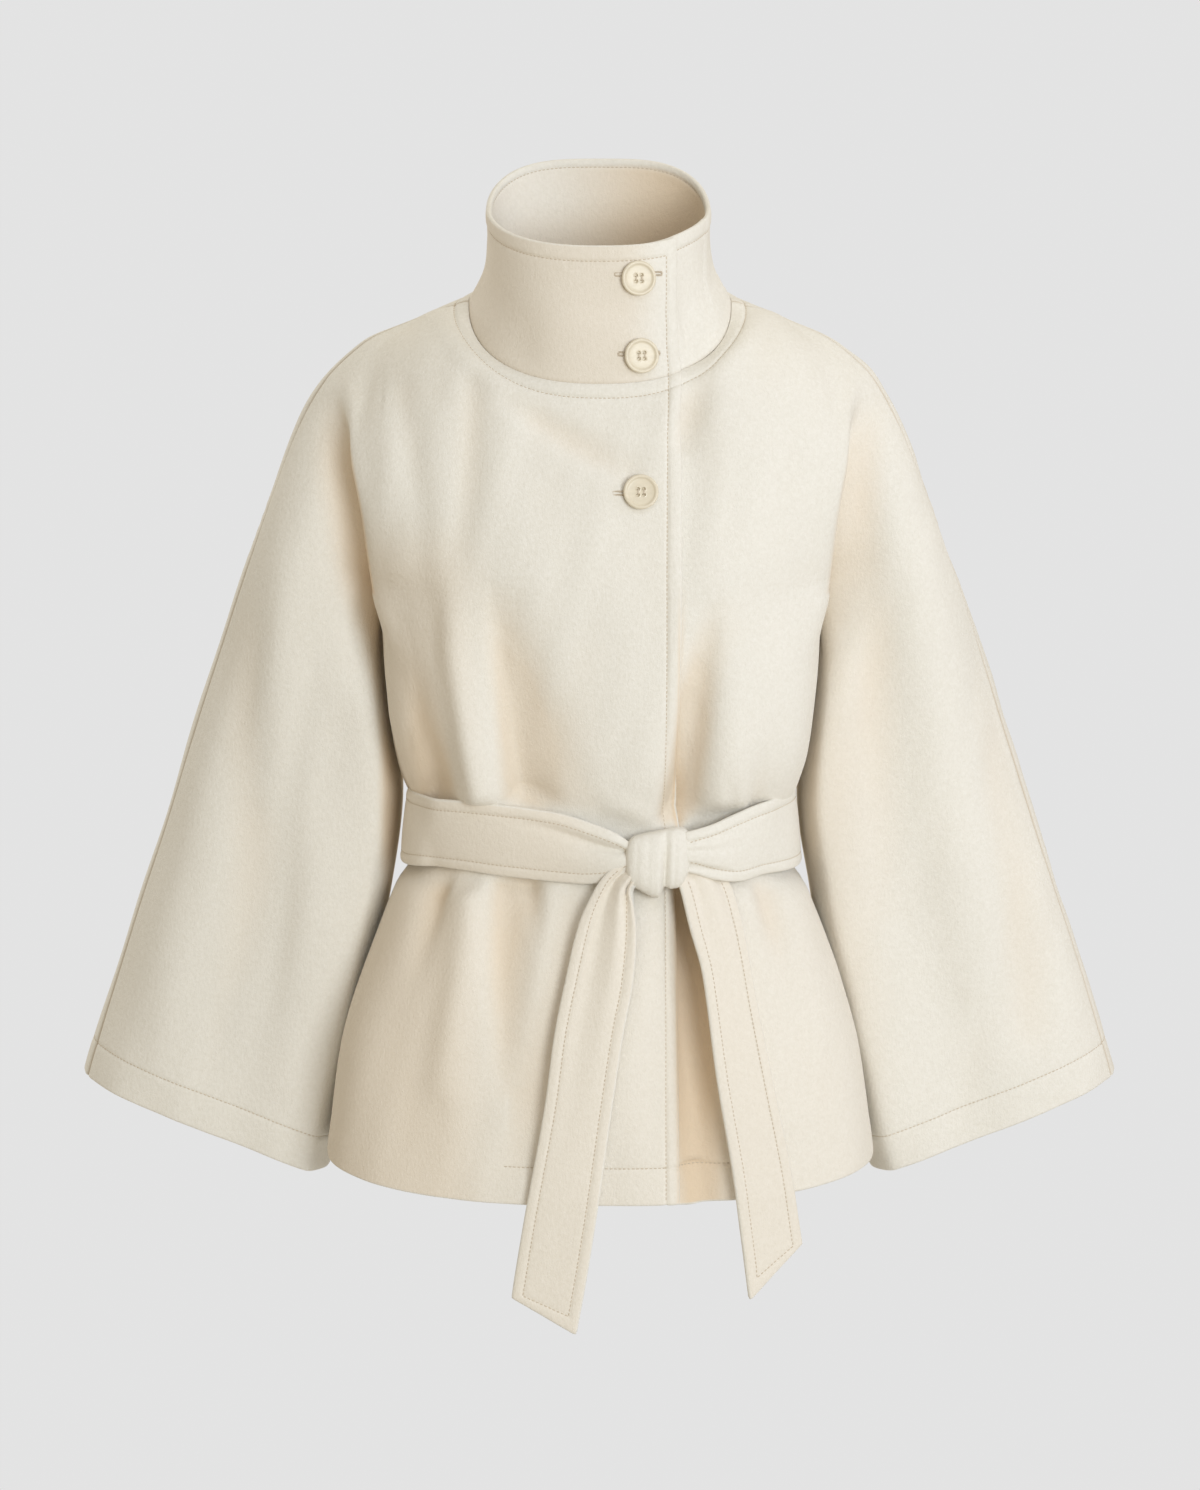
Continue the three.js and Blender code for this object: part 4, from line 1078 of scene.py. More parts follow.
def note_panel_stitches(sheet, back, side):
    """Notes a panel's stitching: cuff, neck, on a front the facing's hem, and the top front's edge."""
    body, sleeve = sheet.grids
    neck_row = np.argmin(np.abs(sheet.from_neck[body[:20, 0]] - millimetres("neck_stitch")))
    hem_row = np.argmin(np.abs(sheet.from_hem[body[:, 0]] - millimetres("hem_depth")))
    neck_line = np.concatenate([body[neck_row], sleeve[neck_row, 1:]])
    note_stitches("cuffs", sheet, sleeve[hem_row])
    if back:
        note_stitches("neck", sheet, neck_line)
        return
    edge_column = EDGE_STEPS.index(EDGE_STITCH)

    def first(line, past):
        """Where a line starts: at the top front's edge stitching, or where that front covers it."""
        return edge_column if side < 0 else np.argmin(np.abs(sheet.points[line, 0] - OVERLAP_EDGE - past))

    note_stitches("neck", sheet, neck_line[first(neck_line, 2):])
    shown = sheet.from_edge[body[hem_row]] < millimetres("facing_width")
    note_stitches("fronts", sheet, body[hem_row][shown][first(body[hem_row], 0):])
    if side < 0:
        note_stitches("fronts", sheet, body[:, edge_column], 1, 2)


PANELS = {  # is it a back, its side, and how far it passes the centre
    "front_right": (False, -1, OVERLAP_EDGE),
    "front_left": (False, 1, 0),
    "back_left": (True, 1, 0),
    "back_right": (True, -1, 0),
}


def worked_cloth(sheet, back):
    """Moves a panel's cloth by its creases, its waves and the belt's hold, and paints shade into the
    troughs and other shaded places.
    """
    place, level = fold_place(sheet.points)
    share = np.where(sheet.points[:, 2] > FOLD_FOOT, 1 - smooth((place + 4) / 8), sheet.is_body)
    on_sleeve, on_body = (crease_height(sheet.points, part, back) for part in (1, 0))
    height = mix(on_sleeve, on_body, share) + waves(sheet.points)
    quiet = smooth(sheet.from_neck / 40) * smooth((sheet.from_seam + 4) / 16)
    hold, near, swell = belt_hold(sheet.points, back) * sheet.is_body
    height *= 1 - np.where(height > 0, np.maximum(hold, near), 0.85 * hold)
    # painted shade: the colour darkens and warms in the crease troughs, and where shades() puts it on the
    # front
    sheet.fold += 0.48 * np.clip(-height / 9, 0, 1) ** 1.3 * quiet
    sheet.fold += 0 if back else shades(sheet)
    sheet.wall -= 1.1 * bell(place, 20) * smooth((-level - 50) / 30) * (1 - smooth((-level - 250) / 40))
    sheet.points += sheet.normals * ((height + swell - WAIST_HELD * hold) * quiet)[:, None]


def shell_sheets():
    """The four panels, worked out together so that their surfaces join smoothly at the seams."""
    if shell:
        return shell
    shell.update({name: build_panel(*cut) for name, cut in PANELS.items()})
    sheets = list(shell.values())
    shared_normals(sheets)
    for name, sheet in shell.items():
        worked_cloth(sheet, PANELS[name][0])
    shared_normals(sheets)
    left = shell["front_left"]
    under = UNDER_STEP * (1 - smooth((left.points[:, 0] - OVERLAP_EDGE - 4) / 28))
    inward = mix(unit(left.normals * (1, 1, 0)), left.normals, smooth((left.from_neck - 6) / 50)[:, None])
    left.points -= inward * np.where(left.is_body & (left.points[:, 1] < 0), under, 0)[:, None]
    for name, sheet in shell.items():
        sewn = sheet.from_seam < TOUCHING
        sheet.points[sewn] -= edge_pairs(sheet)[1][sewn] * SEAM_GAP / 2
        finish_panel(sheet, *PANELS[name][:2])
    return shell


def make_panels(*names):
    """The pieces of some panels."""
    sheets = shell_sheets()
    for name in names:
        # painted shade of the panel, as fold and seam values for the wool
        depths = {"fold": sheets[name].fold, "seam": sheets[name].seam}
        yield make_piece(f"cloth_{name}", *closed_wall(sheets[name]), name, **depths)


class JACKET_OT_fronts(bpy.types.Operator):
    """Make the right front, which laps over, and the left front, each in one with its front sleeve"""

    bl_idname = "jacket.fronts"
    bl_label = "Fronts"

    def execute(self, context):
        for piece in make_panels("front_right", "front_left"):
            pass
        return {"FINISHED"}


class JACKET_OT_backs(bpy.types.Operator):
    """Make the two halves of the back, each cut in one with its back sleeve"""

    bl_idname = "jacket.backs"
    bl_label = "Back"

    def execute(self, context):
        for piece in make_panels("back_left", "back_right"):
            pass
        return {"FINISHED"}


# ------------------------------------------------------------------ collar
COLLAR_COLUMNS, COLLAR_ROWS = 215, 26
RIM_STITCH, FACING_STITCH = 9.8, 5.0  # stitching below the rim, outside and inside
COLLAR_RIM_STEPS = [0, 0.8, 2.0, 3.4, 4.4, FACING_STITCH, 5.6, 7.0, 8.4, 9.2, RIM_STITCH, 10.4, 11.6, 14]

# soft dents and swells of the collar: x, z, breadth across, breadth down, height
COLLAR_DENTS = table("x z across down height", [
    [22, -8, 28, 8, -2.6],
    [48, -30, 11, 14, -1.7],
    [12, 30, 26, 12, 1.2],
    [-34, -12, 30, 26, 1.2],
    [-56, -30, 13, 22, -1.8],
    [70, -16, 7, 34, -2.2],
    [86, -6, 8, 26, 1.4],
])


def collar_stations(v):
    """Collar points for dense rows: over end, wearer's right, back, left and under end."""
    share = np.linspace(0, 1, 90)[None]
    over = collar_share(OVERLAP_EDGE, v) * np.linspace(1, 0, 30)[None, :-1]
    runs = [(over, 1, False), (share[:, :-1], -1, False), (1 - share[:, :-1], -1, True),
            (share[:, :-1], 1, True), (1 - share, 1, False)]
    return np.concatenate([collar_point(v, part, back) * (side, 1, 1) for part, side, back in runs], 1)


def collar_sheet():
    """The collar's sheet, with the distances of its points from its two ends, its rim and its seam."""
    dense = collar_stations(np.linspace(1, 0, 80)[:, None])
    line = respaced(dense, EDGE_STEPS, COLLAR_COLUMNS, [0, 1.5, 4])
    grid = respaced(line.swapaxes(0, 1), COLLAR_RIM_STEPS, COLLAR_ROWS, [0, 1, 2.4, 5])
    grid = grid.swapaxes(0, 1)[:, ::-1]
    sheet = grid_sheet(grid, "collar_wall")
    from_end, from_rim = reach_of(grid), reach_down(grid)
    sheet.from_under = from_end.ravel()
    sheet.from_over = (from_end[:, -1:] - from_end).ravel()
    sheet.from_rim = from_rim.ravel()
    sheet.from_seam = (from_rim[-1:] - from_rim).ravel()
    return sheet


def shape_collar(sheet):
    """Steps the under end inside the over end, adds dents, draws the rim in a little at the sides, and
    rolls the rim and the over end between edge and stitching; gives the relief of the inner face."""
    x, y, z = sheet.points.T
    from_seam, from_rim = sheet.from_seam, sheet.from_rim
    lapped = (y < 0) & (x > -1) & (sheet.from_under < 110)
    step = np.where(lapped, COLLAR_STEP * (1 - smooth((x - OVERLAP_EDGE - 4) / 28)), 0)
    dents = sum(d["height"] * bell(x - d["x"], d["across"]) * bell(z - d["z"], d["down"])
                for d in each_row(COLLAR_DENTS))
    dents = dents * ((y < 0) & (sheet.from_under > 70)) * smooth(from_seam / 12) * smooth(from_rim / 12)
    slow = 0.5 * np.sin(sheet.from_under / 19) * np.sin(z / 31 + 0.8)
    drawn = np.where(x > 0, -4.2, 1.6) * smooth((np.abs(x) - 20) / 60) * smooth(from_seam / 55)
    sheet.points += sheet.normals * (dents - step + slow * smooth(from_seam / 20))[:, None]
    sheet.points[:, 0] += drawn
    shared_normals([sheet])
    outline = np.minimum(from_rim, sheet.from_over + RIM_STITCH - millimetres("edge_stitch"))
    sheet.relief += sewn_edge(outline, RIM_STITCH, 0.45, 0.65)
    sheet.relief += 0.3 * smooth((RIM_STITCH - outline) / 3) - 0.3 * bell(from_seam, 1.6)
    sheet.points[:, 2] -= 0.4 * bell(from_seam, 2.5)
    sheet.rim[from_seam < TOUCHING] = 0.15
    return sewn_edge(from_rim, FACING_STITCH, 0.3, 0.6)


def collar_shades(sheet):
    """Painted shade of the outer and then the inner face, as fold and seam values: darker along the
    neck seam, on the outer front towards the wearer's right, and warm inside, most on the wearer's left."""
    x, y, _ = sheet.points.T
    shade = 0.12 + 0.8 * smooth((x + 46) / 110) + 0.25 * smooth((sheet.from_rim - 25) / 40)
    far = 0.28 * smooth((46 - x) / 30) * (y < 20)
    sewn = 0.35 * bell(sheet.from_seam, 1.3)
    seam = sewn + 0.1 * smooth((50 - x) / 60), sewn + 0.22 * smooth(shade - 0.3)
    inside = np.clip(shade, 0, 1) * smooth((sheet.from_rim - 1) / 7)
    return {"fold": np.concatenate([far, inside]), "seam": np.concatenate(seam)}


class JACKET_OT_collar(bpy.types.Operator):
    """Make the tall funnel collar, its over end lapped outside its under end"""

    bl_idname = "jacket.collar"
    bl_label = "Collar"

    def execute(self, context):
        sheet = collar_sheet()
        inner = shape_collar(sheet)
        piece = make_piece("cloth_collar", *closed_wall(sheet, inner), "collar", **collar_shades(sheet))
        row, facing = COLLAR_RIM_STEPS.index(RIM_STITCH), COLLAR_RIM_STEPS.index(FACING_STITCH)
        column = sheet.grid.shape[1] - 1 - EDGE_STEPS.index(EDGE_STITCH)
        note_stitches("collar", sheet, sheet.grid[row, :column + 1])
        note_stitches("collar", sheet, sheet.grid[facing, :column + 1], 20, inner_relief=inner)
        note_stitches("collar", sheet, sheet.grid[row:, column])
        return {"FINISHED"}


# ------------------------------------------------------------------ belt
BELT_ROWS = {"top": 6.42, "bottom": 7.28}  # v of the belt's edges
BELT_CLEARANCE = 0.4
BELT_END = 140  # the table of the belt's front reaches this far each way
KNOT_LEFT, KNOT_RIGHT = 19.0, 65.0
EDGE_LINE = 6.8  # the step in from the belt's edges that the stitching follows
BELT_ACROSS = [0, 0.8, 2.0, 3.8, 5.4, 6.2, EDGE_LINE, 7.6, 9.4]
LINE = BELT_ACROSS.index(EDGE_LINE)  # its place among the steps

# the belt's edges across the front: height of the top and bottom edge, and how far it stands off
BELT_FRONT = table("v top bottom off", [
    [-140, -361.5, -413.5, 2.5],
    [-127, -360, -410, 1],
    [-105, -359, -409, 0],
    [-72, -360.5, -411, 0],
    [-50, -362.5, -412.5, 0],
    [-28, -365.5, -414, 1],
    [-8, -371.5, -414.5, 4],
    [10, -378.5, -411, 9],
    [20, -384.5, -406, 11],
    [42, -380, -404, 13],
    [64, -376, -406, 13],
    [79, -373, -412, 11],
    [96, -367.5, -415.5, 7],
    [116, -361.5, -413.5, 3],
    [140, -359.5, -415, 4],
])


def belt_line(v, key):
    """One edge of the belt, from the knot's right side round the back of the waist to its left side."""
    front, back = (shell_rows(np.array([v]), behind)[0] for behind in (False, True))
    reach, around = reach_of(front), reach_of(back)
    even = np.linspace(0, 1, 120)
    start, stop = (np.interp(x, front[0, :, 0], reach[0]) for x in (KNOT_RIGHT - 6, KNOT_LEFT + 6))
    total = reach[0, -1]
    runs = mix(start, total, even), total * even, stop * np.linspace(0, 1, 30)
    left, right, near = (take_at(front, reach, run[None])[0] for run in runs)
    behind = take_at(back, around, around[:, -1:] * even)[0]
    over = (-1, 1, 1)
    line = np.concatenate([left, behind[::-1][1:], behind[1:] * over, right[::-1][1:] * over, near[1:]])
    x, y, z = line.T
    z = mix(z, along(BELT_FRONT, key, np.clip(x, -BELT_END, BELT_END)), smooth((8 - y) / 44))
    surface = mix(y, front_y(x, z), smooth((130 - np.abs(x)) / 14))
    return np.stack([x, np.where((y < 0) & (np.abs(x) < 130), surface, y), z], -1)


# a ribbon that is anywhere narrower than the first has its edge steps scaled down from the second
RIBBON_NARROW, RIBBON_FULL = 19, 44.0


def ribbon(lines, along_steps, columns, axes=slice(None)):
    """Grid between two lines, rows along them and columns across with close steps at the edges; with it
    come the distances along and across, and the width."""
    reach = reach_of(sum(lines)[None] / 2)
    down = spaced(reach[:, -1:], *along_steps)
    one, other = (take_at(line[None], reach, down)[0] for line in lines)
    width = np.linalg.norm((other - one)[:, axes], axis=1)[:, None]
    full = width if width.min() > RIBBON_NARROW else np.maximum(width, RIBBON_FULL)
    across = spaced(full, BELT_ACROSS, columns, BELT_ACROSS) * width / full
    return one[:, None] + (other - one)[:, None] * (across / width)[..., None], down.T, across, width


def belt_sheet():
    """The belt round the waist, its pleats and rolls read off its share across (0 at the top edge)."""
    edges = [belt_line(v, key) for key, v in BELT_ROWS.items()]
    grid, _, across, width = ribbon(edges, ([0, 2], 300, [0, 2]), 16)
    sheet = grid_sheet(grid.swapaxes(0, 1), "belt_wall")
    share = (across / width).T.ravel()
    x, y, _ = sheet.points.T
    front = y < 0
    off = np.where(front, along(BELT_FRONT, "off", np.clip(x, -BELT_END, BELT_END)), 0)
    bow = 4 * share * (1 - share)
    # left stretch: a pleat below the top edge that deepens towards the knot, and a full roll under it
    near = smooth((x + 82) / 90) * smooth((40 - x) / 10) * front
    pleat = mix(0.16, 0.34, smooth((x + 80) / 95))
    fold = near * (2.6 * bell(share - pleat * 0.45, 0.12) - 3.6 * bell(share - pleat, 0.075)
                   + 3.4 * bell(share - 0.62, 0.26))
    # right stretch: two faint pleats out of the knot, and a tuck where its lower edge swings out
    right = (x > 40) * front
    pleats = 1.3 * bell(share - 0.22, 0.06) + bell(share - 0.45, 0.07)
    fold += smooth((112 - x) / 40) * right * (2.4 * bow - pleats)
    fold -= 2.6 * smooth((98 - x) / 22) * right * bell(share - 0.86, 0.08)
    fold += 0.7 * np.sin(x / 21) * bell(share - 0.5 - 0.2 * np.sin(x / 47), 0.2) * (y > 0)
    out = off + millimetres("belt_wall") + BELT_CLEARANCE - WAIST_HELD + 0.9 + 0.8 * bow + fold
    sheet.points += sheet.normals * out[:, None]
    shared_normals([sheet])
    stitch = millimetres("belt_stitch")
    for distance in (across, width - across):
        sheet.relief += sewn_edge(distance, stitch, 0.35, 0.55).T.ravel() * (1 - 0.6 * near)
    return sheet


class JACKET_OT_belt(bpy.types.Operator):
    """Make the belt round the waist, gathered into the knot"""

    bl_idname = "jacket.belt"
    bl_label = "Belt"

    def execute(self, context):
        sheet = belt_sheet()
        # painted shade on the belt's front, growing towards the wearer's right of the knot
        fold = 0.28 * smooth((20 - sheet.points[:, 0]) / 60) * (sheet.points[:, 1] < 0)
        piece = make_piece("cloth_belt_waist", *closed_wall(sheet), "belt_waist", fold=fold)
        for row in (LINE, -1 - LINE):
            note_stitches("belt", sheet, sheet.grid[row], 2, 2)
        return {"FINISHED"}


# ------------------------------------------------------------------ knot
# across the knot from its left (-1) to its right (1): top and bottom height, how far the front swells
KNOT = table("v top bottom front", [
    [-1.0, -380.5, -415.5, 10.5],
    [-0.6, -379.0, -419.5, 12.5],
    [-0.15, -377.0, -424.5, 13.5],
    [0.05, -376.2, -424.5, 13.2],
    [0.22, -375.4, -418.5, 10.5],
    [0.42, -374.6, -419.5, 12.3],
    [0.7, -374.0, -417.5, 12.0],
    [1.0, -374.2, -410.0, 9.0],
])
# pleats that run down over the knot: place across, half breadth, depth at the top and at the bottom
KNOT_PLEATS = table("at breadth high low", [
    [-0.66, 0.09, 0.4, 0.5],
    [-0.30, 0.10, 0.6, 0.3],
    [0.20, 0.085, 0.7, 3.6],
    [0.52, 0.08, 0.5, 0.9],
])


KNOT_SECTIONS, KNOT_AROUND = 110, 120
KNOT_HEIGHT = -398  # where the jacket's front is measured for it
KNOT_STAND = 13.0  # its middle's distance from that front
KNOT_BACK = 9.0  # how far its back swells
KNOT_SPARE = 0.6  # how far it reaches past its sides


def knot_grid():
    """A lump of wrapped belt: rounded box sections side by side, height and swell from the table."""
    u = np.sin(np.linspace(-np.pi / 2, np.pi / 2, KNOT_SECTIONS + 1))[:, None]
    turn = np.linspace(0, 2 * np.pi, KNOT_AROUND, endpoint=False)[None]
    size = np.maximum(1e-3, 1 - np.abs(u) ** 7) ** (1 / 3.2)
    k = rows_at(KNOT, u)
    middle, half = (k["top"] + k["bottom"]) / 2, (k["top"] - k["bottom"]) / 2
    rounds = (np.cos(turn), 0.72), (np.sin(turn), 0.80)
    out, up = (np.sign(wave) * np.abs(wave) ** power for wave, power in rounds)
    lower = smooth(0.5 - up / 1.6)
    dent = sum(mix(p["high"], p["low"], lower) * bell(u - p["at"] - 0.05 * up, p["breadth"])
               for p in each_row(KNOT_PLEATS))
    x = (KNOT_LEFT + KNOT_RIGHT) / 2 + u * ((KNOT_RIGHT - KNOT_LEFT) / 2 + KNOT_SPARE)
    y = front_y(x, KNOT_HEIGHT) - KNOT_STAND - out * np.where(out > 0, k["front"], KNOT_BACK) * size
    y = y + dent * np.maximum(out, 0) * size
    z = middle + up * (half - 0.55 * dent * (up < 0)) * size
    return np.stack(np.broadcast_arrays(x, y, z), -1)


class JACKET_OT_knot(bpy.types.Operator):
    """Make the knot, where one end of the belt wraps over the other"""

    bl_idname = "jacket.knot"
    bl_label = "Knot"

    def execute(self, context):
        grid = knot_grid()
        points, faces = capped_tube(grid, grid[[0, -1]].mean(1))
        make_piece("cloth_belt_knot", points, faces[:, ::-1], "belt_knot")
        return {"FINISHED"}


# ------------------------------------------------------------------ hanging ends
TAIL_ROWS = 120
TAIL_SHADE = 0.22  # painted shade over each whole hanging end, as a share of the fold shade tint
# the two edges of each hanging end from the knot down, and how far each edge stands off the jacket
TAIL_LEFT = table("v xLeft zLeft xRight zRight offLeft offRight", [
    [0, 24, -394, 28, -408, 17, 19],
    [1, 5, -408, 21.5, -418, 16, 18],
    [2, -7.5, -428, 23.6, -430, 13, 16],
    [3, -15.8, -449, 25.3, -452, 10, 13],
    [4, -23.7, -483, 22.3, -486, 8, 10],
    [5, -31.7, -522, 15.1, -523, 8, 9],
    [6, -38.9, -575, 7.2, -575, 8, 8],
    [7, -51.8, -646, -2.9, -646, 8, 8],
    [8, -59.8, -694, -11.0, -698, 8, 8],
    [9, -62.6, -713, -18.3, -738.5, 8, 8],
])
TAIL_RIGHT = table("v xLeft zLeft xRight zRight offLeft offRight", [
    [0, 54, -402, 72, -398, 14, 8],
    [1, 60.3, -420, 92, -416, 15, 7],
    [2, 66.8, -446, 102, -444, 14, 5.5],
    [3, 74.9, -474, 108, -474, 13, 5.2],
    [4, 79.3, -502, 113, -502, 12, 5.2],
    [5, 86.3, -555, 124, -556, 12, 5.2],
    [6, 97.5, -621, 137.5, -622, 12, 5.2],
    [7, 103.3, -664, 143.7, -661, 12, 5.2],
    [8, 109.8, -714.5, 146.5, -679, 12, 5.2],
])
HEM_LEVEL = -640  # below this an end hangs as at this height
# lengthwise folds of the hanging ends near the knot: place across (0 to 1), breadth, height, how far
# down they reach
TAIL_FOLDS = {
    "left": [
        (0.36, 0.13, -3.4, 120), (0.68, 0.13, 3.6, 110), (0.86, 0.05, -3.2, 46), (0.97, 0.06, 2.4, 70),
    ],
    "right": [(0.28, 0.10, -2.2, 60), (0.62, 0.16, 2.4, 90), (0.84, 0.09, -2.0, 60)],
}


def tail_sheet(rows, folds):
    """One hanging end on the jacket's front, between its two edges, folded and stitched round."""
    v = np.linspace(rows["v"][0], rows["v"][-1], 240)
    edges = [np.stack([along(rows, key + side, v) for key in ("x", "off", "z")], -1)
             for side in ("Left", "Right")]
    grid, down, across, width = ribbon(edges, ([0], TAIL_ROWS, BELT_ACROSS), 14, [0, 2])
    share = across / width
    off = grid[..., 1] + sum(height * bell(share - place, breadth) * bell(down, fade) * smooth(down / 12)
                             for place, breadth, height, fade in folds)
    grid[..., 1] = front_y(grid[..., 0], np.maximum(grid[..., 2], HEM_LEVEL)) - off
    sheet = grid_sheet(grid, "belt_wall")
    stitch = millimetres("belt_stitch")
    outline = np.minimum(np.minimum(across, width - across), (down[-1] - down) * 0.93)
    relief = sewn_edge(outline, stitch, 0.35, 0.4)
    sheet.relief += (relief + 0.5 * np.sin(down / 31 + 2 * share) * (1 - np.abs(2 * share - 1))).ravel()
    return sheet


class JACKET_OT_tails(bpy.types.Operator):
    """Make the two hanging ends of the belt, each with a slanted tip"""

    bl_idname = "jacket.tails"
    bl_label = "Belt ends"

    def execute(self, context):
        for side, rows, length in (("left", TAIL_LEFT, 0.355), ("right", TAIL_RIGHT, 0.325)):
            sheet = tail_sheet(rows, TAIL_FOLDS[side])
            node = f"belt_tail_{side}"
            # painted shade, even over the whole end
            fold = np.full(len(sheet.points), TAIL_SHADE)
            piece = make_piece(f"cloth_{node}", *closed_wall(sheet), node, fold=fold)
            for line in (sheet.grid[:-LINE, LINE], sheet.grid[:-LINE, -1 - LINE]):
                note_stitches("tails", sheet, line, 14)
            note_stitches("tails", sheet, sheet.grid[-1 - LINE, LINE:-LINE])
        return {"FINISHED"}


# ------------------------------------------------------------------ buttons
BUTTONS = ("button_1", "button_2", "button_3")
BUTTON_THICK = 3.4
BUTTON_AROUND = 96
BUTTON_STAND = 1.3  # of the thread shank
HOLES = ((-1, -1), (-1, 1), (1, -1), (1, 1))
HOLE_SPACING = 4.2
HOLE_RADIUS = 1.05
HOLE_FLOOR = 0.25


def button_frame(name):
    """Centre of a button and its right, up and outward directions, from the cloth under it."""
    low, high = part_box(name)
    beside = np.array([(0, 0), (6, 0), (-6, 0), (0, 6), (0, -6)]).T
    x, z = ((low[axis] + high[axis]) / 2 / MM + shift for axis, shift in zip((0, 2), beside))
    point = np.stack([x, cloth_front(x, z), z], -1)
    normal = unit(np.cross(point[1] - point[2], point[3] - point[4]))
    right = unit(np.cross([0, 0, 1], -normal))
    right = -right if right[0] < 0 else right
    up = np.cross(normal, right)
    return point[0], right, up if up[2] > 0 else -up, normal


# height of the button's face over its radius, as shares: a shallow dish inside a rounded rim; and its
# underside
BUTTON_FACE = table("radius height", [
    [0.0, 0.62], [0.34, 0.62], [0.48, 0.63], [0.6, 0.65], [0.70, 0.68], [0.76, 0.73],
    [0.80, 0.86], [0.84, 0.97], [0.90, 1.0], [0.95, 0.96], [0.985, 0.84], [1.0, 0.6],
])
BUTTON_UNDER = table("radius height", [[0.985, 0.28], [0.93, 0.06], [0.6, 0.0], [0.1, 0.0]])


class JACKET_OT_buttons(bpy.types.Operator):
    """Make the three four-hole buttons with their sewing thread"""

    bl_idname = "jacket.buttons"
    bl_label = "Buttons"

    def execute(self, context):
        low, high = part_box("button_3")
        points, faces = button_solid((high[0] - low[0]) / 2 / MM)
        frames = [button_frame(name) for name in BUTTONS]
        for name, (centre, right, up, normal) in zip(BUTTONS, frames):
            placed = centre + (points + (0, 0, BUTTON_STAND)) @ np.stack([right, up, normal])
            make_piece(f"disc_{name}", placed, faces, name, kind="button")
        make_piece("button_thread", *sewing_thread(frames), kind="thread")
        return {"FINISHED"}


def button_solid(radius):
    """A grid in polar form whose face follows the profile and drops down a steep well at each hole."""
    ring = np.concatenate([np.linspace(0.35, 5.4, 34), np.linspace(5.7, radius * 0.985, 26), [radius]])
    face, under = ((t["radius"] * radius, t["height"] * BUTTON_THICK)
                   for t in (BUTTON_FACE, BUTTON_UNDER))
    top = np.interp(ring, *face)
    turn = np.linspace(0, 2 * np.pi, BUTTON_AROUND, endpoint=False)
    r, z = (np.concatenate(pair)[:, None] for pair in ((ring, under[0]), (top, under[1])))
    x, y, z = np.broadcast_arrays(r * np.cos(turn), r * np.sin(turn), z)
    shown = np.arange(len(z))[:, None] < len(ring)
    for column, row in HOLES:
        gap = np.hypot(x - column * HOLE_SPACING / 2, y - row * HOLE_SPACING / 2)
        worn = mix(z, HOLE_FLOOR, smooth((HOLE_RADIUS + 0.28 - gap) / 0.42))
        z = np.where(shown, worn + 0.05 * BUTTON_THICK * bell(gap - HOLE_RADIUS - 0.5, 0.4), z)
    return capped_tube(np.stack([x, y, z], -1), [[0, 0, top[0]], [0, 0, 0]])


def sewing_thread(buttons):
    """Two bars of two strands between each button's holes, and the wound shank behind it."""
    half = HOLE_SPACING / 2
    frames = []
    for centre, right, up, normal in buttons:
        face = centre + (BUTTON_STAND + 0.62 * BUTTON_THICK + 0.14) * normal
        for shift in (-half - 0.22, -half + 0.22, half - 0.22, half + 0.22):
            frames.append((face + shift * right, half * 1.05 * up, 0.34 * right, 0.42 * normal))
        for angle in np.arange(0, 2 * np.pi, np.pi / 4):
            side = np.cos(angle) * right + np.sin(angle) * up
            place = centre + side + 0.6 * BUTTON_STAND * normal
            frames.append((place, 1.7 * normal, 0.5 * np.cross(side, normal), 0.5 * side))
    return stitch_copies([[part[None] for part in frame] for frame in frames])


# ------------------------------------------------------------------ buttonholes
# where each buttonhole lies from its button: how far its far end shows to the left, and its height
BUTTONHOLES = table("left right rise", [[16.5, 17.0, 3.0], [16.0, 13.5, 1.5], [20.0, 10.5, -0.5]])


PURL_PITCH = 0.62  # from one bar of thread to the next round a buttonhole
PURL_RADIUS = 1.15  # half the distance between its two rows


def buttonhole(name, row):
    """Line round one buttonhole on the cloth's front, and its normals: there and back by the slit."""
    centre, _, _, normal = button_frame(name)
    run = np.linspace(0, 4, 400)
    half = (row["left"] + row["right"]) / 2
    corners = [0, 1.9, 2.0, 3.9, 4.0]
    x, z = (np.interp(run, corners, size * np.array(ways)) for size, ways in
            ((half, [-1, 1, 1, -1, -1]), (PURL_RADIUS, [1, 1, -1, -1, 1])))
    x, z = x + centre[0] + (row["right"] - row["left"]) / 2, z + centre[2] + row["rise"]
    return np.stack([x, cloth_front(x, z), z], -1) + normal * 0.1, np.broadcast_to(normal, (len(run), 3))


class JACKET_OT_buttonholes(bpy.types.Operator):
    """Make the worked buttonholes: a slit inside a close row of thread"""

    bl_idname = "jacket.buttonholes"
    bl_label = "Buttonholes"

    def execute(self, context):
        holes = [buttonhole(name, row) for name, row in zip(BUTTONS, each_row(BUTTONHOLES))]
        make_piece("buttonhole_thread", *purl_mesh(holes), kind="thread")
        return {"FINISHED"}


def purl_mesh(lines):
    """Short bars of thread laid across each line, side by side, as on a worked buttonhole."""
    frames = []
    for line, normals in lines:
        at = np.arange(PURL_PITCH / 2, reach_of(line)[-1], PURL_PITCH)
        place, ahead, up = line_frames(line, normals, at, 0.3)
        frames.append((place + 0.15 * up, 0.85 * np.cross(up, ahead), 0.33 * ahead, 0.4 * up))
    return stitch_copies(frames)


class JACKET_OT_stitching(bpy.types.Operator):
    """Make the topstitching of every sewn edge, stitch by stitch"""

    bl_idname = "jacket.stitching"
    bl_label = "Topstitching"

    def execute(self, context):
        pitch, width = millimetres("stitch_pitch"), millimetres("stitch_width")
        for group in sorted({line[0] for line in stitch_lines}):
            lines = [line for line in stitch_lines if line[0] == group]
            make_piece(f"stitches_{group}", *stitch_mesh(lines, pitch, width), kind="thread")
        return {"FINISHED"}


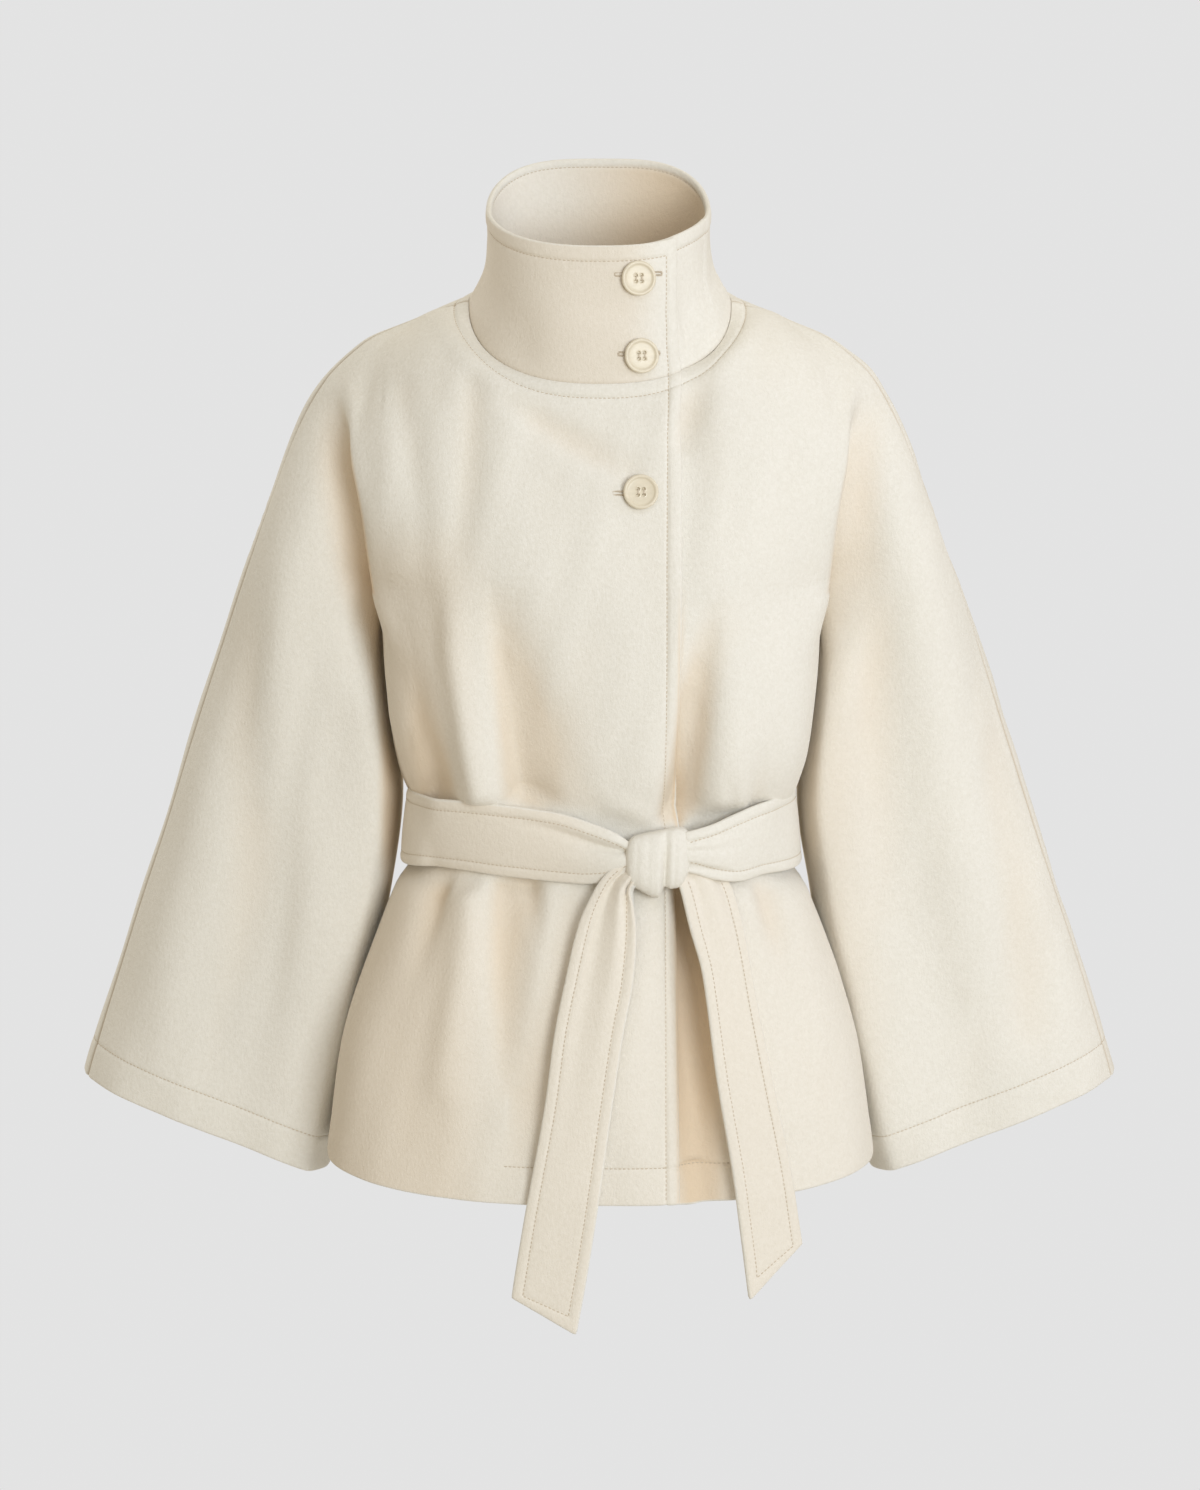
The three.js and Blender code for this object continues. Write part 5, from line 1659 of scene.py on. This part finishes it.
# ------------------------------------------------------------------ studio
CAMERA_TARGET = Vector((0, 0, -0.333))
CAMERA_DISTANCE = 4.0
CAMERA_ELEVATION = np.radians(9)
FRAME_HEIGHT = 1.1026  # height of the view at the target, in metres
SENSOR = 36.0
FLOOR_HEIGHT = -1.38
FLOOR_RADIUS = 1.4
FLOOR_CORNERS = 96
# area lights: place, size, power, colour
LIGHTS = (
    ("key", (1.45, -3.3, 0.3), 1.6, 65, (0.90, 0.958, 1.0)),
    ("side", (3.2, -0.8, 0.8), 1.6, 16, (0.72, 0.77, 1.0)),
    ("over", (0.4, -2.6, 2.4), 2.0, 15, (0.62, 0.76, 1.0)),
    ("back", (0.4, 0.9, 2.2), 2.0, 13, (1.0, 0.95, 0.78)),
    ("rear", (-2.6, 2.4, 0.7), 1.8, 42, (0.92, 0.96, 1.0)),
)
BACKGROUND = 0.77
AMBIENT = (0.50, 0.447, 0.356)


def staged(scene, name, data, place=(0, 0, 0)):
    """A new object in the scene, turned towards the jacket if it is a camera or a light."""
    thing = bpy.data.objects.new(name, data)
    scene.collection.objects.link(thing)
    thing.location = place
    if thing.type in ("CAMERA", "LIGHT"):
        thing.rotation_mode = "QUATERNION"
        thing.rotation_quaternion = (CAMERA_TARGET - thing.location).to_track_quat("-Z", "Y")
    return thing


def make_camera(scene):
    data = bpy.data.cameras.new("camera")
    data.sensor_width = SENSOR
    data.lens = SENSOR * CAMERA_DISTANCE / FRAME_HEIGHT
    away = Vector((0, -np.cos(CAMERA_ELEVATION), np.sin(CAMERA_ELEVATION)))
    scene.camera = staged(scene, "camera", data, CAMERA_TARGET + away * CAMERA_DISTANCE)


def make_lights(scene):
    for name, place, size, power, colour in LIGHTS:
        data = bpy.data.lights.new(f"light_{name}", "AREA")
        data.shape = "DISK"
        data.size, data.energy, data.color = size, power, colour
        staged(scene, f"light_{name}", data, place)


def make_world(scene):
    """Plain light grey behind the jacket, with a softer light of the same grey falling on it."""
    world = bpy.data.worlds.new("studio")
    scene.world = world
    world.use_nodes = True
    nodes, links = world.node_tree.nodes, world.node_tree.links
    shown = nodes["Background"]
    shown.inputs["Color"].default_value = (BACKGROUND, BACKGROUND, BACKGROUND, 1)
    lit = nodes.new("ShaderNodeBackground")
    lit.inputs["Color"].default_value = (*AMBIENT, 1)
    path, choose = nodes.new("ShaderNodeLightPath"), nodes.new("ShaderNodeMixShader")
    links.new(path.outputs["Is Camera Ray"], choose.inputs[0])
    links.new(lit.outputs[0], choose.inputs[1])
    links.new(shown.outputs[0], choose.inputs[2])
    links.new(choose.outputs[0], nodes["World Output"].inputs["Surface"])


def make_floor(scene):
    """Pale round floor that fades out towards its edge."""
    turn = np.linspace(0, 2 * np.pi, FLOOR_CORNERS, endpoint=False)
    x, y = FLOOR_RADIUS * np.cos(turn), FLOOR_RADIUS * np.sin(turn)
    mesh = bpy.data.meshes.new("floor")
    points = np.stack([x, y, 0 * x + FLOOR_HEIGHT], -1)
    mesh.from_pydata(points.tolist(), [], [list(range(FLOOR_CORNERS))])
    floor = staged(scene, "floor", mesh)
    n = Nodes("floor")
    base = np.array(scene.cape_jacket.floor_colour)
    flat = n.mapped((1 / FLOOR_RADIUS, 1 / FLOOR_RADIUS, 0))
    away = n.add("ShaderNodeVectorMath", operation="LENGTH", Vector=flat).outputs["Value"]
    shade = n.blend(n.noise(3.0, 3.0), base * 0.985, base)
    fade = n.ranged(away, 0.5, 0.98, 1.0, 0.0)
    mesh.materials.append(n.surface(Base_Color=shade, Alpha=fade, Roughness=0.9, Specular_IOR_Level=0.1))


class JACKET_OT_stage(bpy.types.Operator):
    """Set up the pale floor, the soft studio light and the camera"""

    bl_idname = "jacket.stage"
    bl_label = "Studio"

    def execute(self, context):
        for make in (make_camera, make_lights, make_world, make_floor):
            make(context.scene)
        context.scene.view_settings.view_transform = "Standard"
        return {"FINISHED"}


# ------------------------------------------------------------------ panel and registration
STEPS = (
    JACKET_OT_stage,
    JACKET_OT_fronts,
    JACKET_OT_backs,
    JACKET_OT_collar,
    JACKET_OT_belt,
    JACKET_OT_knot,
    JACKET_OT_tails,
    JACKET_OT_buttons,
    JACKET_OT_buttonholes,
    JACKET_OT_stitching,
)


class JACKET_PT_panel(bpy.types.Panel):
    """Steps of the jacket, in order"""

    bl_idname = "JACKET_PT_panel"
    bl_label = "Cape jacket"
    bl_space_type = "VIEW_3D"
    bl_region_type = "UI"
    bl_category = "Jacket"

    def draw(self, context):
        for step in STEPS:
            self.layout.operator(step.bl_idname)
        for name in JacketSettings.__annotations__:
            self.layout.prop(context.scene.cape_jacket, name)


def register():
    for item in (JacketSettings, *STEPS, JACKET_PT_panel):
        bpy.utils.register_class(item)
    bpy.types.Scene.cape_jacket = PointerProperty(type=JacketSettings)


def unregister():
    del bpy.types.Scene.cape_jacket
    for item in reversed((JacketSettings, *STEPS, JACKET_PT_panel)):
        bpy.utils.unregister_class(item)


def main():
    register()
    for step in STEPS:
        group, action = step.bl_idname.split(".")
        getattr(getattr(bpy.ops, group), action)()


if __name__ == "__main__":
    main()
